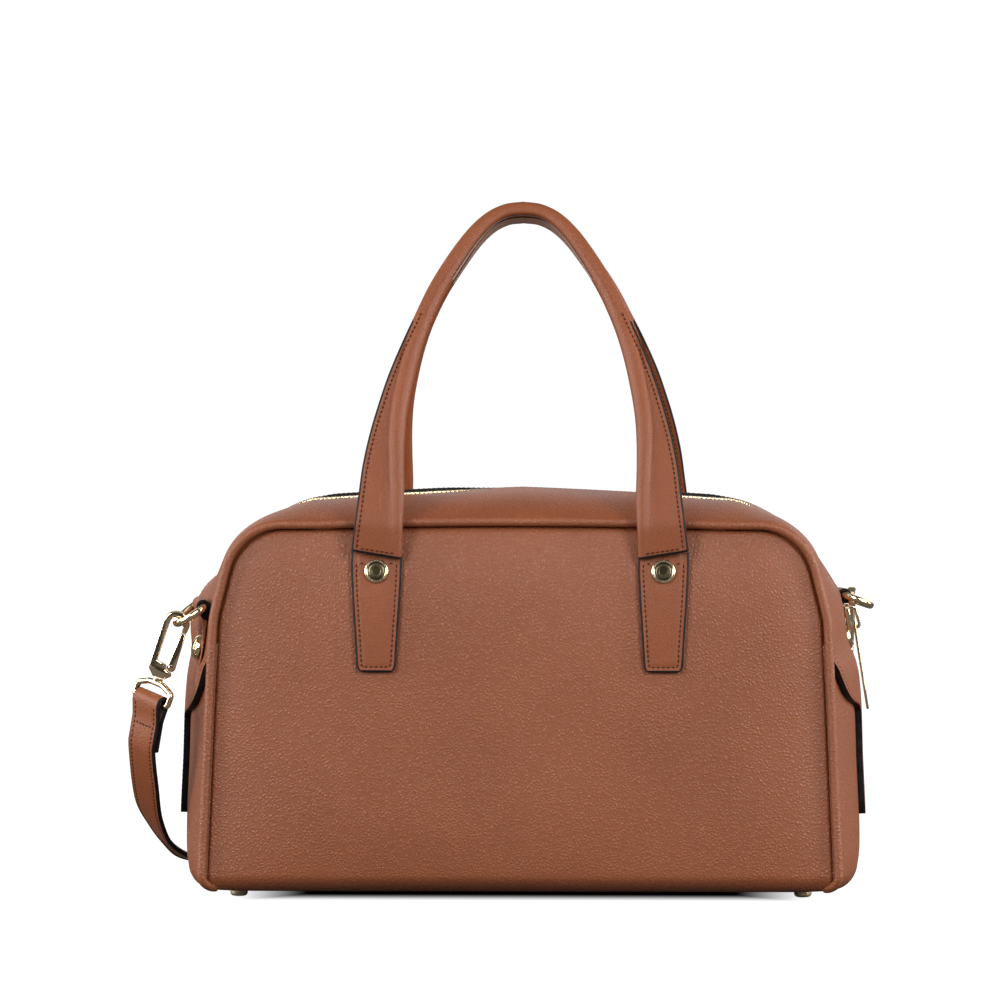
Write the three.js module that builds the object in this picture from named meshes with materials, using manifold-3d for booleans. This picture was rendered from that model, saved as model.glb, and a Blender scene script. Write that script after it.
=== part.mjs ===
// Bowling bag in tan leather with two rolled handles, a zip over the top and a clip-on shoulder strap.
// Millimetres, Z up, the front faces -Y. The bag stands on four feet.
// The strap hangs at its left side and lies on the floor behind it.
import * as THREE from 'three';
import Module from 'manifold-3d';

const wasm = await Module();
wasm.setup();

const V2 = THREE.Vector2;
const V3 = THREE.Vector3;
const RAD = Math.PI / 180;

// Clearance between neighbouring pieces, and the leather of the walls
const GAP = 0.3;
const LEATHER = 2.0;

// Outline of the body seen from the front, at the seams of the two panels
const HALF_BOTTOM = 152;
const HALF_SHOULDER = 146.5;
const BOTTOM_Z = 5;
const TOP_Z = 177.5;
const TOP_ARCH = 1.5;
const CORNER_R = 50;
const ROLL_R = 9;
// The front panel has tighter shoulders from this angle upwards, and a slightly higher top edge
const SQUARE_R = 28;
const SQUARE_FROM = 14;
const FRONT_RISE = 2.2;

// Depth of the body from its middle to a seam
const HALF_DEPTH_BOTTOM = 68;
const HALF_DEPTH_TOP = 61;

const PIPE_R = 2.2;
const PANEL_PUFF = 8;
const BOTTOM_SAG = 2.4;

// How far the gusset bulges past the seam line, by distance along the seam from the middle of the top
const BULGE = [
  { along: 0, out: 14.5 },
  { along: 95, out: 11 },
  { along: 130, out: 9.8 },
  { along: 155, out: 7.4 },
  { along: 165, out: 7.2 },
  { along: 180, out: 8.8 },
  { along: 200, out: 13.2 },
  { along: 240, out: 13.4 },
  { along: 275, out: 13.2 },
  { along: 290, out: 11.5 },
  { along: 302, out: 6 },
];
const BULGE_POWER = 2.4;
// Where the zip rounds a shoulder it draws the gusset in, between these distances along the seam
const SHOULDER_DENT = { depth: 8.5, spread: 30, start: 84, full: 126, fade: 138, end: 161 };

// Half width of the flap at each end of the top gusset, by height
const FLAP = [
  { z: 117, half: 60.4 },
  { z: 106, half: 59.7 },
  { z: 99, half: 58 },
  { z: 94, half: 54 },
  { z: 90.5, half: 47 },
  { z: 87.5, half: 35 },
  { z: 85, half: 21.5 },
  { z: 81, half: 13.6 },
  { z: 60, half: 13 },
  { z: 41, half: 13 },
  { z: 37, half: 11.5 },
  { z: 35.5, half: 8 },
];
const FLAP_STAND = 0.9;
const FLAP_LEATHER = 2.8;
const UNDER_FLAP_Z = 121.5;

// Zip
const SLOT_HALF = 4;
const ZIP_END_Z = 124.5;
const TAPE_HALF = 7;
const TAPE_THICK = 1;
const TEETH_HALF = 2.6;
const SLIDER_Z = 130;
const PULL_LENGTH = 42;
const PULL_LEAN = 9;
const PULL_DROP = 4.1;
const PULL_BAR = 0.75;

// Handles: half span, height and section at each station from the end up to the crown
const HANDLE = [
  { span: 68.2, z: 164.2, half: 12.1, inner: 1.7, outer: 1.7, slant: 5.5, square: 0.35 },
  { span: 67.3, z: 176, half: 11.6, inner: 1.9, outer: 1.7, slant: 0, square: 0.45 },
  { span: 66, z: 191, half: 11, inner: 2.6, outer: 1.6, slant: 0, square: 0.65 },
  { span: 65.2, z: 205, half: 10, inner: 3.3, outer: 1.6, slant: 0, square: 0.85 },
  { span: 63.6, z: 219, half: 8.6, inner: 4, outer: 1.7, slant: 0, square: 1 },
  { span: 61.2, z: 232, half: 7.3, inner: 4.3, outer: 1.8, slant: 0, square: 1 },
  { span: 57.6, z: 246, half: 6.3, inner: 4.4, outer: 2, slant: 0, square: 1 },
  { span: 53, z: 260, half: 5.2, inner: 4.4, outer: 2.8, slant: 0, square: 1 },
  { span: 47.8, z: 273, half: 4.5, inner: 4.4, outer: 3.6, slant: 0, square: 1 },
  { span: 41, z: 287.5, half: 4.4, inner: 4.4, outer: 4, slant: 0, square: 1 },
  { span: 33.4, z: 300, half: 4.4, inner: 4.4, outer: 4.2, slant: 0, square: 1 },
  { span: 24.2, z: 312.4, half: 4.4, inner: 4.4, outer: 4.2, slant: 0, square: 1 },
  { span: 16, z: 320.2, half: 4.4, inner: 4.3, outer: 4.2, slant: 0, square: 1 },
  { span: 8, z: 324.3, half: 4.3, inner: 4.2, outer: 4.2, slant: 0, square: 1 },
  { span: 0, z: 325.4, half: 4.3, inner: 4.2, outer: 4.2, slant: 0, square: 1 },
];
const HANDLE_END_Z = 162;
const HANDLE_LEAN_Z = 178;
const HANDLE_CROWN_Y = 5;
const HANDLE_SIDES = 10;
// The rear handle sits a little lower at its crown
const HANDLES = [
  { name: 'handle_front', side: -1, drop: 0 },
  { name: 'handle_back', side: 1, drop: 3.5 },
];

// Handle tabs, from under the handle end down to the rounded lower end
const TAB_X = 68.2;
const TAB = [
  { z: 170, half: 11.6 },
  { z: 160, half: 12 },
  { z: 145, half: 11.2 },
  { z: 125, half: 9.6 },
  { z: 113, half: 8.6 },
  { z: 110.3, half: 7.9 },
  { z: 108.8, half: 6 },
];
const TAB_LEATHER = 2;
const TAB_SEAT = 0.7;
const RIVET_Z = 156.5;
const RIVET_R = 4.8;

// Feet
const FOOT_X = 134.5;
const FOOT_Y = 51;
const FOOT_R = 4.2;

// Ring sets on the gusset, one at the left front and one at the right rear
const WIRE_R = 1.8;
const RING_HALF = 11.5;
const RING_DEPTH = 14.5;
const RING_FILLET = 3;
const LOOP_R = 3.4;
const LOOP_WIDTH = 16;
const LOOP_TAIL = 31;
const LOOP_THICK = 2.4;
const BAR_OUT = LOOP_R + GAP;
const STUD_DROP = 20;
const STUD_R = 6;

// Clasp, measured down from the middle of its hook
const HOOK_IN = 3.2;
const HOOK_OUT = 6.4;
const HOOK_TIP = 3.2;
const HOOK_THICK = 4.2;
const BASE_TOP = 19;
const BASE_END = 27;
const GATE_PIVOT_DOWN = 20.5;
const GATE_PIVOT_IN = 4.2;
const KNUCKLE_R = 2.2;
const BRACKET_R = 1.5;
const BRACKET_BAR = 38.4;
const BRACKET = [
  { across: 4.6, down: 29.8 },
  { across: 11.6, down: 32.4 },
  { across: 11.6, down: BRACKET_BAR },
];

// Shoulder strap
const STRAP_WIDTH = 18;
const STRAP_THICK = 2.2;
const FOLD_BACK = 24;
const STRAP_LEFT = [
  { x: -180.6, y: -32, z: 54, heading: -50, bank: -3 },
  { x: -179.4, y: -14, z: 37.5, heading: -48, bank: -18 },
  { x: -175.4, y: 9, z: 24.5, heading: -42, bank: -32 },
  { x: -169, y: 40, z: 14, heading: -28, bank: -24 },
  { x: -162, y: 76, z: 6, heading: -17, bank: -8 },
];
const STRAP_RIGHT = [
  { x: 147, y: 98, z: 12, heading: -172, bank: 10 },
  { x: 156, y: 84, z: 33, heading: -126, bank: 5 },
];
const FLOOR_ARC = { left: -151, right: 142, start: 124, reach: 130, rows: 7, bankEnds: 20, bankMiddle: 58 };

const TAN = { color: 0x955c42, roughness: 0.55, metalness: 0 };
const GOLD = { color: 0xd9c79a, roughness: 0.22, metalness: 1 };
const DARK_TAPE = { color: 0x1b2030, roughness: 0.85, metalness: 0 };

const group = new THREE.Group();

function add(name, geometry, look) {
  const mesh = new THREE.Mesh(geometry, new THREE.MeshStandardMaterial(look));
  mesh.name = name;
  group.add(mesh);
}

// Value of a named column between the rows of a table
function between(table, key, at, column) {
  const rising = table[table.length - 1][key] > table[0][key] ? 1 : -1;
  let k = 0;
  while (k < table.length - 2 && (table[k + 1][key] - at) * rising < 0) k++;
  const a = table[k];
  const b = table[k + 1];
  const f = THREE.MathUtils.clamp((at - a[key]) / (b[key] - a[key]), 0, 1);
  return THREE.MathUtils.lerp(a[column], b[column], f);
}

function steps(from, to, count) {
  return Array.from({ length: count + 1 }, (_, k) => from + ((to - from) * k) / count);
}

// Geometry from points and triangles, turned to face outwards
function solid(points, triangles) {
  let volume = 0;
  for (const [a, b, c] of triangles) {
    volume += points[a].dot(new V3().crossVectors(points[b], points[c]));
  }
  const facing = volume > 0 ? triangles : triangles.map(([a, b, c]) => [a, c, b]);
  const geometry = new THREE.BufferGeometry();
  const numbers = points.flatMap((p) => p.toArray());
  geometry.setAttribute('position', new THREE.Float32BufferAttribute(numbers, 3));
  geometry.setIndex(facing.flat());
  return geometry;
}

// Closed wall between an outer and an inner grid of points; keep leaves cells out
function wall(rows, columns, outer, inner, keep = () => true) {
  const points = [];
  for (const surface of [outer, inner]) {
    for (let i = 0; i < rows; i++) {
      for (let j = 0; j < columns; j++) points.push(surface(i, j));
    }
  }
  const half = rows * columns;
  const kept = (i, j) => i >= 0 && j >= 0 && i < rows - 1 && j < columns - 1 && keep(i, j);
  const triangles = [];
  for (let i = 0; i < rows - 1; i++) {
    for (let j = 0; j < columns - 1; j++) {
      if (!kept(i, j)) continue;
      const a = i * columns + j;
      const b = a + columns;
      const c = b + 1;
      const d = a + 1;
      triangles.push([a, b, c], [a, c, d], [a + half, c + half, b + half], [a + half, d + half, c + half]);
      const edges = [
        [a, b, kept(i, j - 1)],
        [b, c, kept(i + 1, j)],
        [c, d, kept(i, j + 1)],
        [d, a, kept(i - 1, j)],
      ];
      for (const [p, q, shared] of edges) {
        if (!shared) triangles.push([q, p, p + half], [q, p + half, q + half]);
      }
    }
  }
  return solid(points, triangles);
}

// Solid through closed loops of points; a ring joins the last loop to the first
function loft(loops, ring = false) {
  const n = loops[0].length;
  const points = loops.flat();
  const triangles = [];
  const last = ring ? loops.length : loops.length - 1;
  for (let i = 0; i < last; i++) {
    for (let j = 0; j < n; j++) {
      const a = i * n + j;
      const b = i * n + ((j + 1) % n);
      const c = ((i + 1) % loops.length) * n + ((j + 1) % n);
      const d = ((i + 1) % loops.length) * n + j;
      triangles.push([a, b, c], [a, c, d]);
    }
  }
  if (!ring) {
    for (const [row, turn] of [[0, 1], [loops.length - 1, -1]]) {
      const middle = loops[row].reduce((sum, p) => sum.clone().add(p), new V3()).divideScalar(n);
      points.push(middle);
      const m = points.length - 1;
      for (let j = 0; j < n; j++) {
        const a = row * n + j;
        const b = row * n + ((j + 1) % n);
        triangles.push(turn > 0 ? [m, b, a] : [m, a, b]);
      }
    }
  }
  return solid(points, triangles);
}

// Direction of a line of points at each of its points
function directions(path, ring = false) {
  return path.map((_, k) => {
    const n = path.length;
    const before = path[ring ? (k + n - 1) % n : Math.max(k - 1, 0)];
    const after = path[ring ? (k + 1) % n : Math.min(k + 1, n - 1)];
    return after.clone().sub(before).normalize();
  });
}

// Round wire along a line of points that lies across the given direction
function wire(path, radius, sides, across, ring = false) {
  const along = directions(path, ring);
  const loops = path.map((p, k) => {
    const up = new V3().crossVectors(along[k], across).normalize();
    const side = new V3().crossVectors(up, along[k]).normalize();
    return Array.from({ length: sides }, (_, j) => {
      const turn = (2 * Math.PI * (j + 0.5)) / sides;
      const around = p.clone().addScaledVector(up, radius * Math.cos(turn));
      return around.addScaledVector(side, radius * Math.sin(turn));
    });
  });
  return loft(loops, ring);
}

function toManifold(geometry) {
  const bare = geometry.index ? geometry : geometry.clone();
  const position = bare.attributes.position;
  const numbers = new Map();
  const kept = [];
  const renumber = [];
  for (let k = 0; k < position.count; k++) {
    const p = [position.getX(k), position.getY(k), position.getZ(k)];
    const key = p.map((v) => Math.round(v * 1e4)).join(' ');
    if (!numbers.has(key)) {
      numbers.set(key, kept.length / 3);
      kept.push(...p);
    }
    renumber.push(numbers.get(key));
  }
  const order = bare.index ? Array.from(bare.index.array) : renumber.map((_, k) => k);
  const triangles = [];
  for (let k = 0; k < order.length; k += 3) {
    const t = [renumber[order[k]], renumber[order[k + 1]], renumber[order[k + 2]]];
    if (new Set(t).size === 3) triangles.push(...t);
  }
  const mesh = new wasm.Mesh({
    numProp: 3,
    vertProperties: new Float32Array(kept),
    triVerts: new Uint32Array(triangles),
  });
  return new wasm.Manifold(mesh);
}

function fromManifold(body) {
  const mesh = body.getMesh();
  const geometry = new THREE.BufferGeometry();
  geometry.setAttribute('position', new THREE.Float32BufferAttribute(Array.from(mesh.vertProperties), 3));
  geometry.setIndex(Array.from(mesh.triVerts));
  return geometry;
}

function joined(geometries) {
  return fromManifold(geometries.map(toManifold).reduce((sum, body) => sum.add(body)));
}

// Round piece from a profile of radius and height, along an axis from a foot point
function turned(profile, sides, foot, axis) {
  const geometry = new THREE.LatheGeometry(profile.map(([r, h]) => new V2(r, h)), sides);
  const turn = new THREE.Quaternion().setFromUnitVectors(new V3(0, 1, 0), axis);
  geometry.applyMatrix4(new THREE.Matrix4().makeRotationFromQuaternion(turn));
  geometry.translate(foot.x, foot.y, foot.z);
  return geometry;
}

// Flat outline pushed along its third axis, half to each side
function plate(shape, thick, basis) {
  const push = { depth: thick, bevelEnabled: false, curveSegments: 6 };
  const geometry = new THREE.ExtrudeGeometry(shape, push);
  geometry.translate(0, 0, -thick / 2);
  geometry.applyMatrix4(basis);
  return geometry;
}

function basisAt(origin, x, y) {
  return new THREE.Matrix4().makeBasis(x, y, new V3().crossVectors(x, y)).setPosition(origin);
}

// Seam line of the body
const LEAN = Math.atan((HALF_BOTTOM - HALF_SHOULDER) / (TOP_Z - CORNER_R - BOTTOM_Z));
const CORNER_X = HALF_SHOULDER - CORNER_R * Math.cos(LEAN);
const CORNER_Z = TOP_Z - TOP_ARCH - CORNER_R;
const CORNER_LEN = CORNER_R * (Math.PI / 2 - LEAN);
const SIDE_TOP = new V2(HALF_SHOULDER, CORNER_Z + CORNER_R * Math.sin(LEAN));
const sideX = (z) => SIDE_TOP.x + (SIDE_TOP.y - z) * Math.tan(LEAN);
const SIDE_END_Z = BOTTOM_Z + ROLL_R * (1 + Math.sin(LEAN));
const SIDE_LEN = (SIDE_TOP.y - SIDE_END_Z) / Math.cos(LEAN);
const ROLL_X = sideX(SIDE_END_Z) - ROLL_R * Math.cos(LEAN);
const ROLL_LEN = ROLL_R * (Math.PI / 2 + LEAN);
const SIDE_START = CORNER_X + CORNER_LEN;
const SEAM_END = SIDE_START + SIDE_LEN + ROLL_LEN;

const halfDepth = (z) =>
  THREE.MathUtils.lerp(HALF_DEPTH_BOTTOM, HALF_DEPTH_TOP, (z - BOTTOM_Z) / (TOP_Z - BOTTOM_Z));
const alongAt = (z) => SIDE_START + (SIDE_TOP.y - z) / Math.cos(LEAN);

// Point, outward direction and half depth of the seam, measured from the middle of the top to either side
function seam(s) {
  const side = s < 0 ? -1 : 1;
  const top = Math.abs(s);
  const arc = top - CORNER_X;
  const line = top - SIDE_START;
  const roll = line - SIDE_LEN;
  let x;
  let z;
  let angle;
  let tuck = 0;
  if (arc < 0) {
    x = top;
    z = TOP_Z - TOP_ARCH * (top / CORNER_X) ** 2;
    angle = Math.PI / 2 - Math.atan((2 * TOP_ARCH * top) / CORNER_X ** 2);
  } else if (line < 0) {
    angle = Math.PI / 2 - arc / CORNER_R;
    x = CORNER_X + CORNER_R * Math.cos(angle);
    z = CORNER_Z + CORNER_R * Math.sin(angle);
  } else if (roll < 0) {
    angle = LEAN;
    z = SIDE_TOP.y - line * Math.cos(LEAN);
    x = sideX(z);
  } else {
    angle = LEAN - roll / ROLL_R;
    x = ROLL_X + ROLL_R * Math.cos(angle);
    z = BOTTOM_Z + ROLL_R + ROLL_R * Math.sin(angle);
    tuck = ROLL_R * (1 - Math.cos(Math.min(0, angle)));
  }
  return { x: side * x, z, nx: side * Math.cos(angle), nz: Math.sin(angle), half: halfDepth(z) - tuck };
}

// Middle of the tighter shoulder of the front, from the middle of the plain one, and where it starts and ends
const SQUARE_TILT = SQUARE_FROM * RAD;
const SQUARE_Z = CORNER_R + FRONT_RISE - SQUARE_R;
const SQUARE_X = (CORNER_R - SQUARE_R - SQUARE_Z * Math.sin(SQUARE_TILT)) / Math.cos(SQUARE_TILT);
const SQUARE_LOW = Math.atan2(
  SQUARE_Z + SQUARE_R * Math.sin(SQUARE_TILT),
  SQUARE_X + SQUARE_R * Math.cos(SQUARE_TILT),
);
const SQUARE_HIGH = Math.atan2(SQUARE_Z + SQUARE_R, SQUARE_X);

function squareReach(angle) {
  if (angle < SQUARE_TILT) return CORNER_R;
  if (angle < SQUARE_LOW) return CORNER_R / Math.cos(angle - SQUARE_TILT);
  if (angle > SQUARE_HIGH) return (CORNER_R + FRONT_RISE) / Math.sin(angle);
  const along = SQUARE_X * Math.cos(angle) + SQUARE_Z * Math.sin(angle);
  return along + Math.sqrt(along ** 2 - SQUARE_X ** 2 - SQUARE_Z ** 2 + SQUARE_R ** 2);
}

// Moves a point of the upper body outwards, towards the tighter shoulders of the front
function squared(p, share) {
  const across = Math.abs(p.x) - CORNER_X;
  const up = p.z - CORNER_Z;
  if (up <= 0 || share <= 0) return p;
  const grown = 1 + share * (squareReach(Math.atan2(up, Math.max(0, across))) / CORNER_R - 1);
  if (across > 0) p.x = Math.sign(p.x) * (CORNER_X + across * grown);
  p.z = CORNER_Z + up * grown;
  return p;
}
const frontShare = (y) => THREE.MathUtils.clamp(-y / HALF_DEPTH_TOP, 0, 1);

// How far the gusset is drawn in at a shoulder
function dent(s, y) {
  const { depth, spread, start, full, fade, end } = SHOULDER_DENT;
  const from = THREE.MathUtils.smoothstep(Math.abs(s), start, full);
  const to = THREE.MathUtils.smoothstep(Math.abs(s), fade, end);
  return depth * from * (1 - to) * Math.exp(-((y / spread) ** 2));
}

// Point of the bulging gusset at a depth y, with an offset outwards
function gusset(s, y, offset = 0) {
  const p = seam(s);
  const share = 1 - Math.min(1, Math.abs(y) / p.half) ** BULGE_POWER;
  const out = between(BULGE, 'along', Math.abs(s), 'out') * share - dent(s, y) + offset;
  return squared(new V3(p.x + p.nx * out, y, p.z + p.nz * out), frontShare(y));
}

// Outward, upward and sideways directions of the gusset at a point
function gussetFrame(s, y, offset) {
  const upward = s < 0 ? 1 : -1;
  const up = gusset(s + upward, y).sub(gusset(s - upward, y)).normalize();
  const side = gusset(s, y + 1).sub(gusset(s, y - 1)).normalize();
  const out = new V3().crossVectors(up, side).normalize();
  if (out.x * s < 0) out.negate();
  const across = new V3().crossVectors(out, up).normalize();
  const origin = gusset(s, y).addScaledVector(out, offset);
  return { origin, out, up, across, basis: basisAt(origin, out, up) };
}

// Rows of a panel from its tucked lower edge to its top edge
const PANEL_INSET = PIPE_R + 2 * GAP;
const ROLL_TRIM = 1.5;
const PANEL_ROWS = [
  ...steps(90, 0, 3).map((turn) => ({
    z: BOTTOM_Z + ROLL_R * (1 - Math.sin(turn * RAD)),
    tuck: ROLL_R * (1 - Math.cos(turn * RAD)),
    half: ROLL_X + ROLL_R * Math.cos(turn * RAD) - PANEL_INSET - ROLL_TRIM * Math.sin(turn * RAD),
  })),
  ...steps(BOTTOM_Z + ROLL_R, SIDE_TOP.y, 6).slice(1).map((z) => ({
    z,
    tuck: 0,
    half: sideX(z) - PANEL_INSET,
  })),
  ...steps(LEAN, Math.PI / 2, 6).slice(1).map((angle) => ({
    z: CORNER_Z + (CORNER_R - PANEL_INSET) * Math.sin(angle),
    tuck: 0,
    half: CORNER_X + (CORNER_R - PANEL_INSET) * Math.cos(angle),
  })),
];
const PANEL_COLUMNS = steps(-90, 90, 14).map((turn) => Math.sin(turn * RAD));
const PANEL_TOP = PANEL_ROWS[PANEL_ROWS.length - 1].z;
const PANEL_MIDDLE = 92;

// How far a panel is puffed out at a share u of its half width and a height z
function puff(u, z) {
  const reach = z > PANEL_MIDDLE ? PANEL_TOP - PANEL_MIDDLE : 98;
  const v = Math.abs(z - PANEL_MIDDLE) / reach;
  return PANEL_PUFF * (1 - Math.abs(u) ** 4) * (1 - Math.min(1, v) ** 3.5);
}

// Half width of a panel at a height above its lower roll
const panelHalf = (z) => between(PANEL_ROWS.slice(3), 'z', z, 'half');
// Depth of a panel's face, away from its shoulders
function panelFace(side, x, z) {
  const risen = side < 0 && z > CORNER_Z ? 1 + FRONT_RISE / CORNER_R : 1;
  const level = CORNER_Z + (z - CORNER_Z) / risen;
  return halfDepth(level) + puff(x / panelHalf(level), level);
}

function panel(side) {
  const surface = (inward) => (i, j) => {
    const row = PANEL_ROWS[i];
    const u = PANEL_COLUMNS[j];
    const lift = TOP_ARCH * (1 - u * u) * THREE.MathUtils.smoothstep(row.z, PANEL_MIDDLE, PANEL_TOP);
    const turn = Math.acos(1 - row.tuck / ROLL_R);
    const depth = halfDepth(row.z) - row.tuck + puff(u, row.z) * Math.cos(turn);
    const y = side * (depth - inward * Math.cos(turn));
    return squared(new V3(u * row.half, y, row.z + lift + inward * Math.sin(turn)), side < 0 ? 1 : 0);
  };
  return wall(PANEL_ROWS.length, PANEL_COLUMNS.length, surface(0), surface(LEATHER));
}

add('front_panel', panel(-1), TAN);
add('back_panel', panel(1), TAN);

// Lower side walls, set back under the flaps
const SIDE_BACK = LEATHER + 2.5 * GAP;
for (const [name, side] of [['side_gusset_left', -1], ['side_gusset_right', 1]]) {
  const start = alongAt(UNDER_FLAP_Z);
  const foot = SIDE_START + SIDE_LEN;
  const rows = [...steps(start, foot, 7), ...steps(foot, SEAM_END, 3).slice(1)];
  const columns = steps(-1, 1, 8);
  const surface = (offset) => (i, j) => {
    const s = side * rows[i];
    return gusset(s, columns[j] * (seam(s).half - PIPE_R - GAP), offset);
  };
  add(name, wall(rows.length, columns.length, surface(-SIDE_BACK), surface(-SIDE_BACK - LEATHER)), TAN);
}

// Bottom panel between the rolled edges
{
  const halfX = ROLL_X - GAP;
  const halfY = seam(SEAM_END).half - GAP;
  const columns = steps(-1, 1, 8);
  const rows = steps(-1, 1, 4);
  const surface = (lift) => (i, j) => {
    const [u, v] = [columns[i], rows[j]];
    return new V3(u * halfX, v * halfY, BOTTOM_Z + lift - BOTTOM_SAG * (1 - u * u) * (1 - v * v));
  };
  add('bottom_panel', wall(columns.length, rows.length, surface(0), surface(LEATHER)), TAN);
}

// Feet
const FOOT_TOP = BOTTOM_Z - BOTTOM_SAG * (1 - (FOOT_X / ROLL_X) ** 2) * (1 - (FOOT_Y / 59) ** 2) - GAP;
const FOOT_HEIGHT = FOOT_TOP - 0.4;
const FOOT_PROFILE = [[0, 0], [FOOT_R * 0.62, 0], [FOOT_R, 1.4], [FOOT_R, FOOT_HEIGHT], [0, FOOT_HEIGHT]];
const CORNERS = [
  { name: 'front_left', x: -1, y: -1 },
  { name: 'front_right', x: 1, y: -1 },
  { name: 'back_left', x: -1, y: 1 },
  { name: 'back_right', x: 1, y: 1 },
];
for (const corner of CORNERS) {
  const place = new V3(corner.x * FOOT_X, corner.y * FOOT_Y, 0);
  add(`foot_${corner.name}`, turned(FOOT_PROFILE, 14, place, new V3(0, 0, 1)), GOLD);
}

// Top gusset with the slot for the zip and a flap at each end
const ZIP_END = alongAt(ZIP_END_Z);
{
  const quarter = [
    ...steps(0, CORNER_X, 4).slice(1),
    ...steps(CORNER_X, SIDE_START, 8).slice(1),
    ZIP_END,
    ...FLAP.map((row) => alongAt(row.z)),
  ];
  const rows = [...quarter.slice().reverse().map((s) => -s), 0, ...quarter];
  const shares = [-1, -0.75, -0.5, -0.25, 0, 0, 0.25, 0.5, 0.75, 1];
  const flapTop = alongAt(FLAP[0].z);
  const surface = (outer) => (i, j) => {
    const s = rows[i];
    const { z, half } = seam(s);
    const reach = Math.abs(s) > flapTop - 0.01 ? between(FLAP, 'z', z, 'half') : half - PIPE_R - GAP;
    const side = j < 5 ? -1 : 1;
    const y = side * SLOT_HALF + shares[j] * (reach - SLOT_HALF);
    const hang = THREE.MathUtils.smoothstep(FLAP[0].z - z, 0, FLAP[0].z - 80);
    const thick = THREE.MathUtils.lerp(LEATHER, FLAP_LEATHER, hang);
    return gusset(s, y, FLAP_STAND * hang - (outer ? 0 : thick));
  };
  const keep = (i, j) => j !== 4 || Math.max(Math.abs(rows[i]), Math.abs(rows[i + 1])) > ZIP_END + 0.01;
  add('top_gusset', wall(rows.length, shares.length, surface(true), surface(false), keep), TAN);
}

// Zip tape and the closed row of teeth
{
  const quarter = [
    ...steps(0, CORNER_X, 4).slice(1),
    ...steps(CORNER_X, SIDE_START, 8).slice(1),
    ZIP_END - 0.4,
  ];
  const rows = [...quarter.slice().reverse().map((s) => -s), 0, ...quarter];
  const band = (columns, top, thick) => {
    const surface = (offset) => (i, j) => gusset(rows[i], columns[j], offset);
    return wall(rows.length, columns.length, surface(top), surface(top - thick));
  };
  add('zip_tape', band([-TAPE_HALF, 0, TAPE_HALF], -LEATHER - GAP, TAPE_THICK), DARK_TAPE);
  add('zip_teeth', band([-TEETH_HALF, TEETH_HALF], -GAP, LEATHER - GAP), GOLD);
}

// Zip slider with its bridge, and the pull that hangs from it
{
  const frame = gussetFrame(alongAt(SLIDER_Z), 0, 0);
  const body = new THREE.Shape();
  body.moveTo(-3.2, -7);
  body.lineTo(3.2, -7);
  body.lineTo(4.4, 2);
  body.quadraticCurveTo(4.4, 5.5, 0, 5.8);
  body.quadraticCurveTo(-4.4, 5.5, -4.4, 2);
  const flat = basisAt(frame.origin.clone().addScaledVector(frame.out, 1.8), frame.across, frame.up);
  const bridge = new THREE.Shape();
  bridge.moveTo(2.4, -7);
  bridge.lineTo(5.4, -7);
  bridge.quadraticCurveTo(7.4, -6.2, 7.4, -3.6);
  bridge.lineTo(6.6, 3.4);
  bridge.lineTo(2.4, 4.6);
  bridge.lineTo(2.4, 3.2);
  bridge.lineTo(5.2, 2.2);
  bridge.lineTo(5.6, -3.6);
  bridge.quadraticCurveTo(5.6, -5, 4.6, -5.3);
  bridge.lineTo(2.4, -5.3);
  add('zip_slider', joined([plate(body, 2.6, flat), plate(bridge, 2.6, frame.basis)]), GOLD);

  // The pull's cross bar lies inside the bridge, just above its lower leg
  const hinge = frame.origin.clone().addScaledVector(frame.out, 4.3).addScaledVector(frame.up, -PULL_DROP);
  const down = new V3(Math.sin(PULL_LEAN * RAD), 0, -Math.cos(PULL_LEAN * RAD));
  const face = new V3(Math.cos(PULL_LEAN * RAD), 0, Math.sin(PULL_LEAN * RAD));
  const across = new V3().crossVectors(face, down);
  const leaf = new THREE.Shape();
  leaf.moveTo(-3, -PULL_BAR);
  leaf.lineTo(3, -PULL_BAR);
  leaf.lineTo(3.4, 5);
  leaf.lineTo(3.9, PULL_LENGTH * 0.7);
  leaf.quadraticCurveTo(3.6, PULL_LENGTH, 0, PULL_LENGTH);
  leaf.quadraticCurveTo(-3.6, PULL_LENGTH, -3.9, PULL_LENGTH * 0.7);
  leaf.lineTo(-3.4, 5);
  const eye = new THREE.Path();
  eye.moveTo(-1.75, PULL_BAR - 0.1);
  eye.lineTo(-1.75, 5.6);
  eye.lineTo(1.75, 5.6);
  eye.lineTo(1.75, PULL_BAR - 0.1);
  leaf.holes.push(eye);
  add('zip_pull', plate(leaf, 2 * PULL_BAR, basisAt(hinge, across, down)), GOLD);
  // Turning point of the pull
  group.userData.pullHinge = hinge;
}

// Piping along both seams
for (const [name, side] of [['piping_front', -1], ['piping_back', 1]]) {
  const half = [
    ...steps(0, CORNER_X, 3).slice(1),
    ...steps(CORNER_X, SIDE_START, 8).slice(1),
    ...steps(SIDE_START, SIDE_START + SIDE_LEN, 3).slice(1),
    ...steps(SIDE_START + SIDE_LEN, SEAM_END, 3).slice(1),
  ];
  const path = [...half.slice().reverse().map((s) => -s), 0, ...half].map((s) => {
    const p = seam(s);
    return squared(new V3(p.x, side * p.half, p.z), side < 0 ? 1 : 0);
  });
  add(name, wire(path, PIPE_R, 8, new V3(0, 1, 0)), TAN);
}

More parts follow.
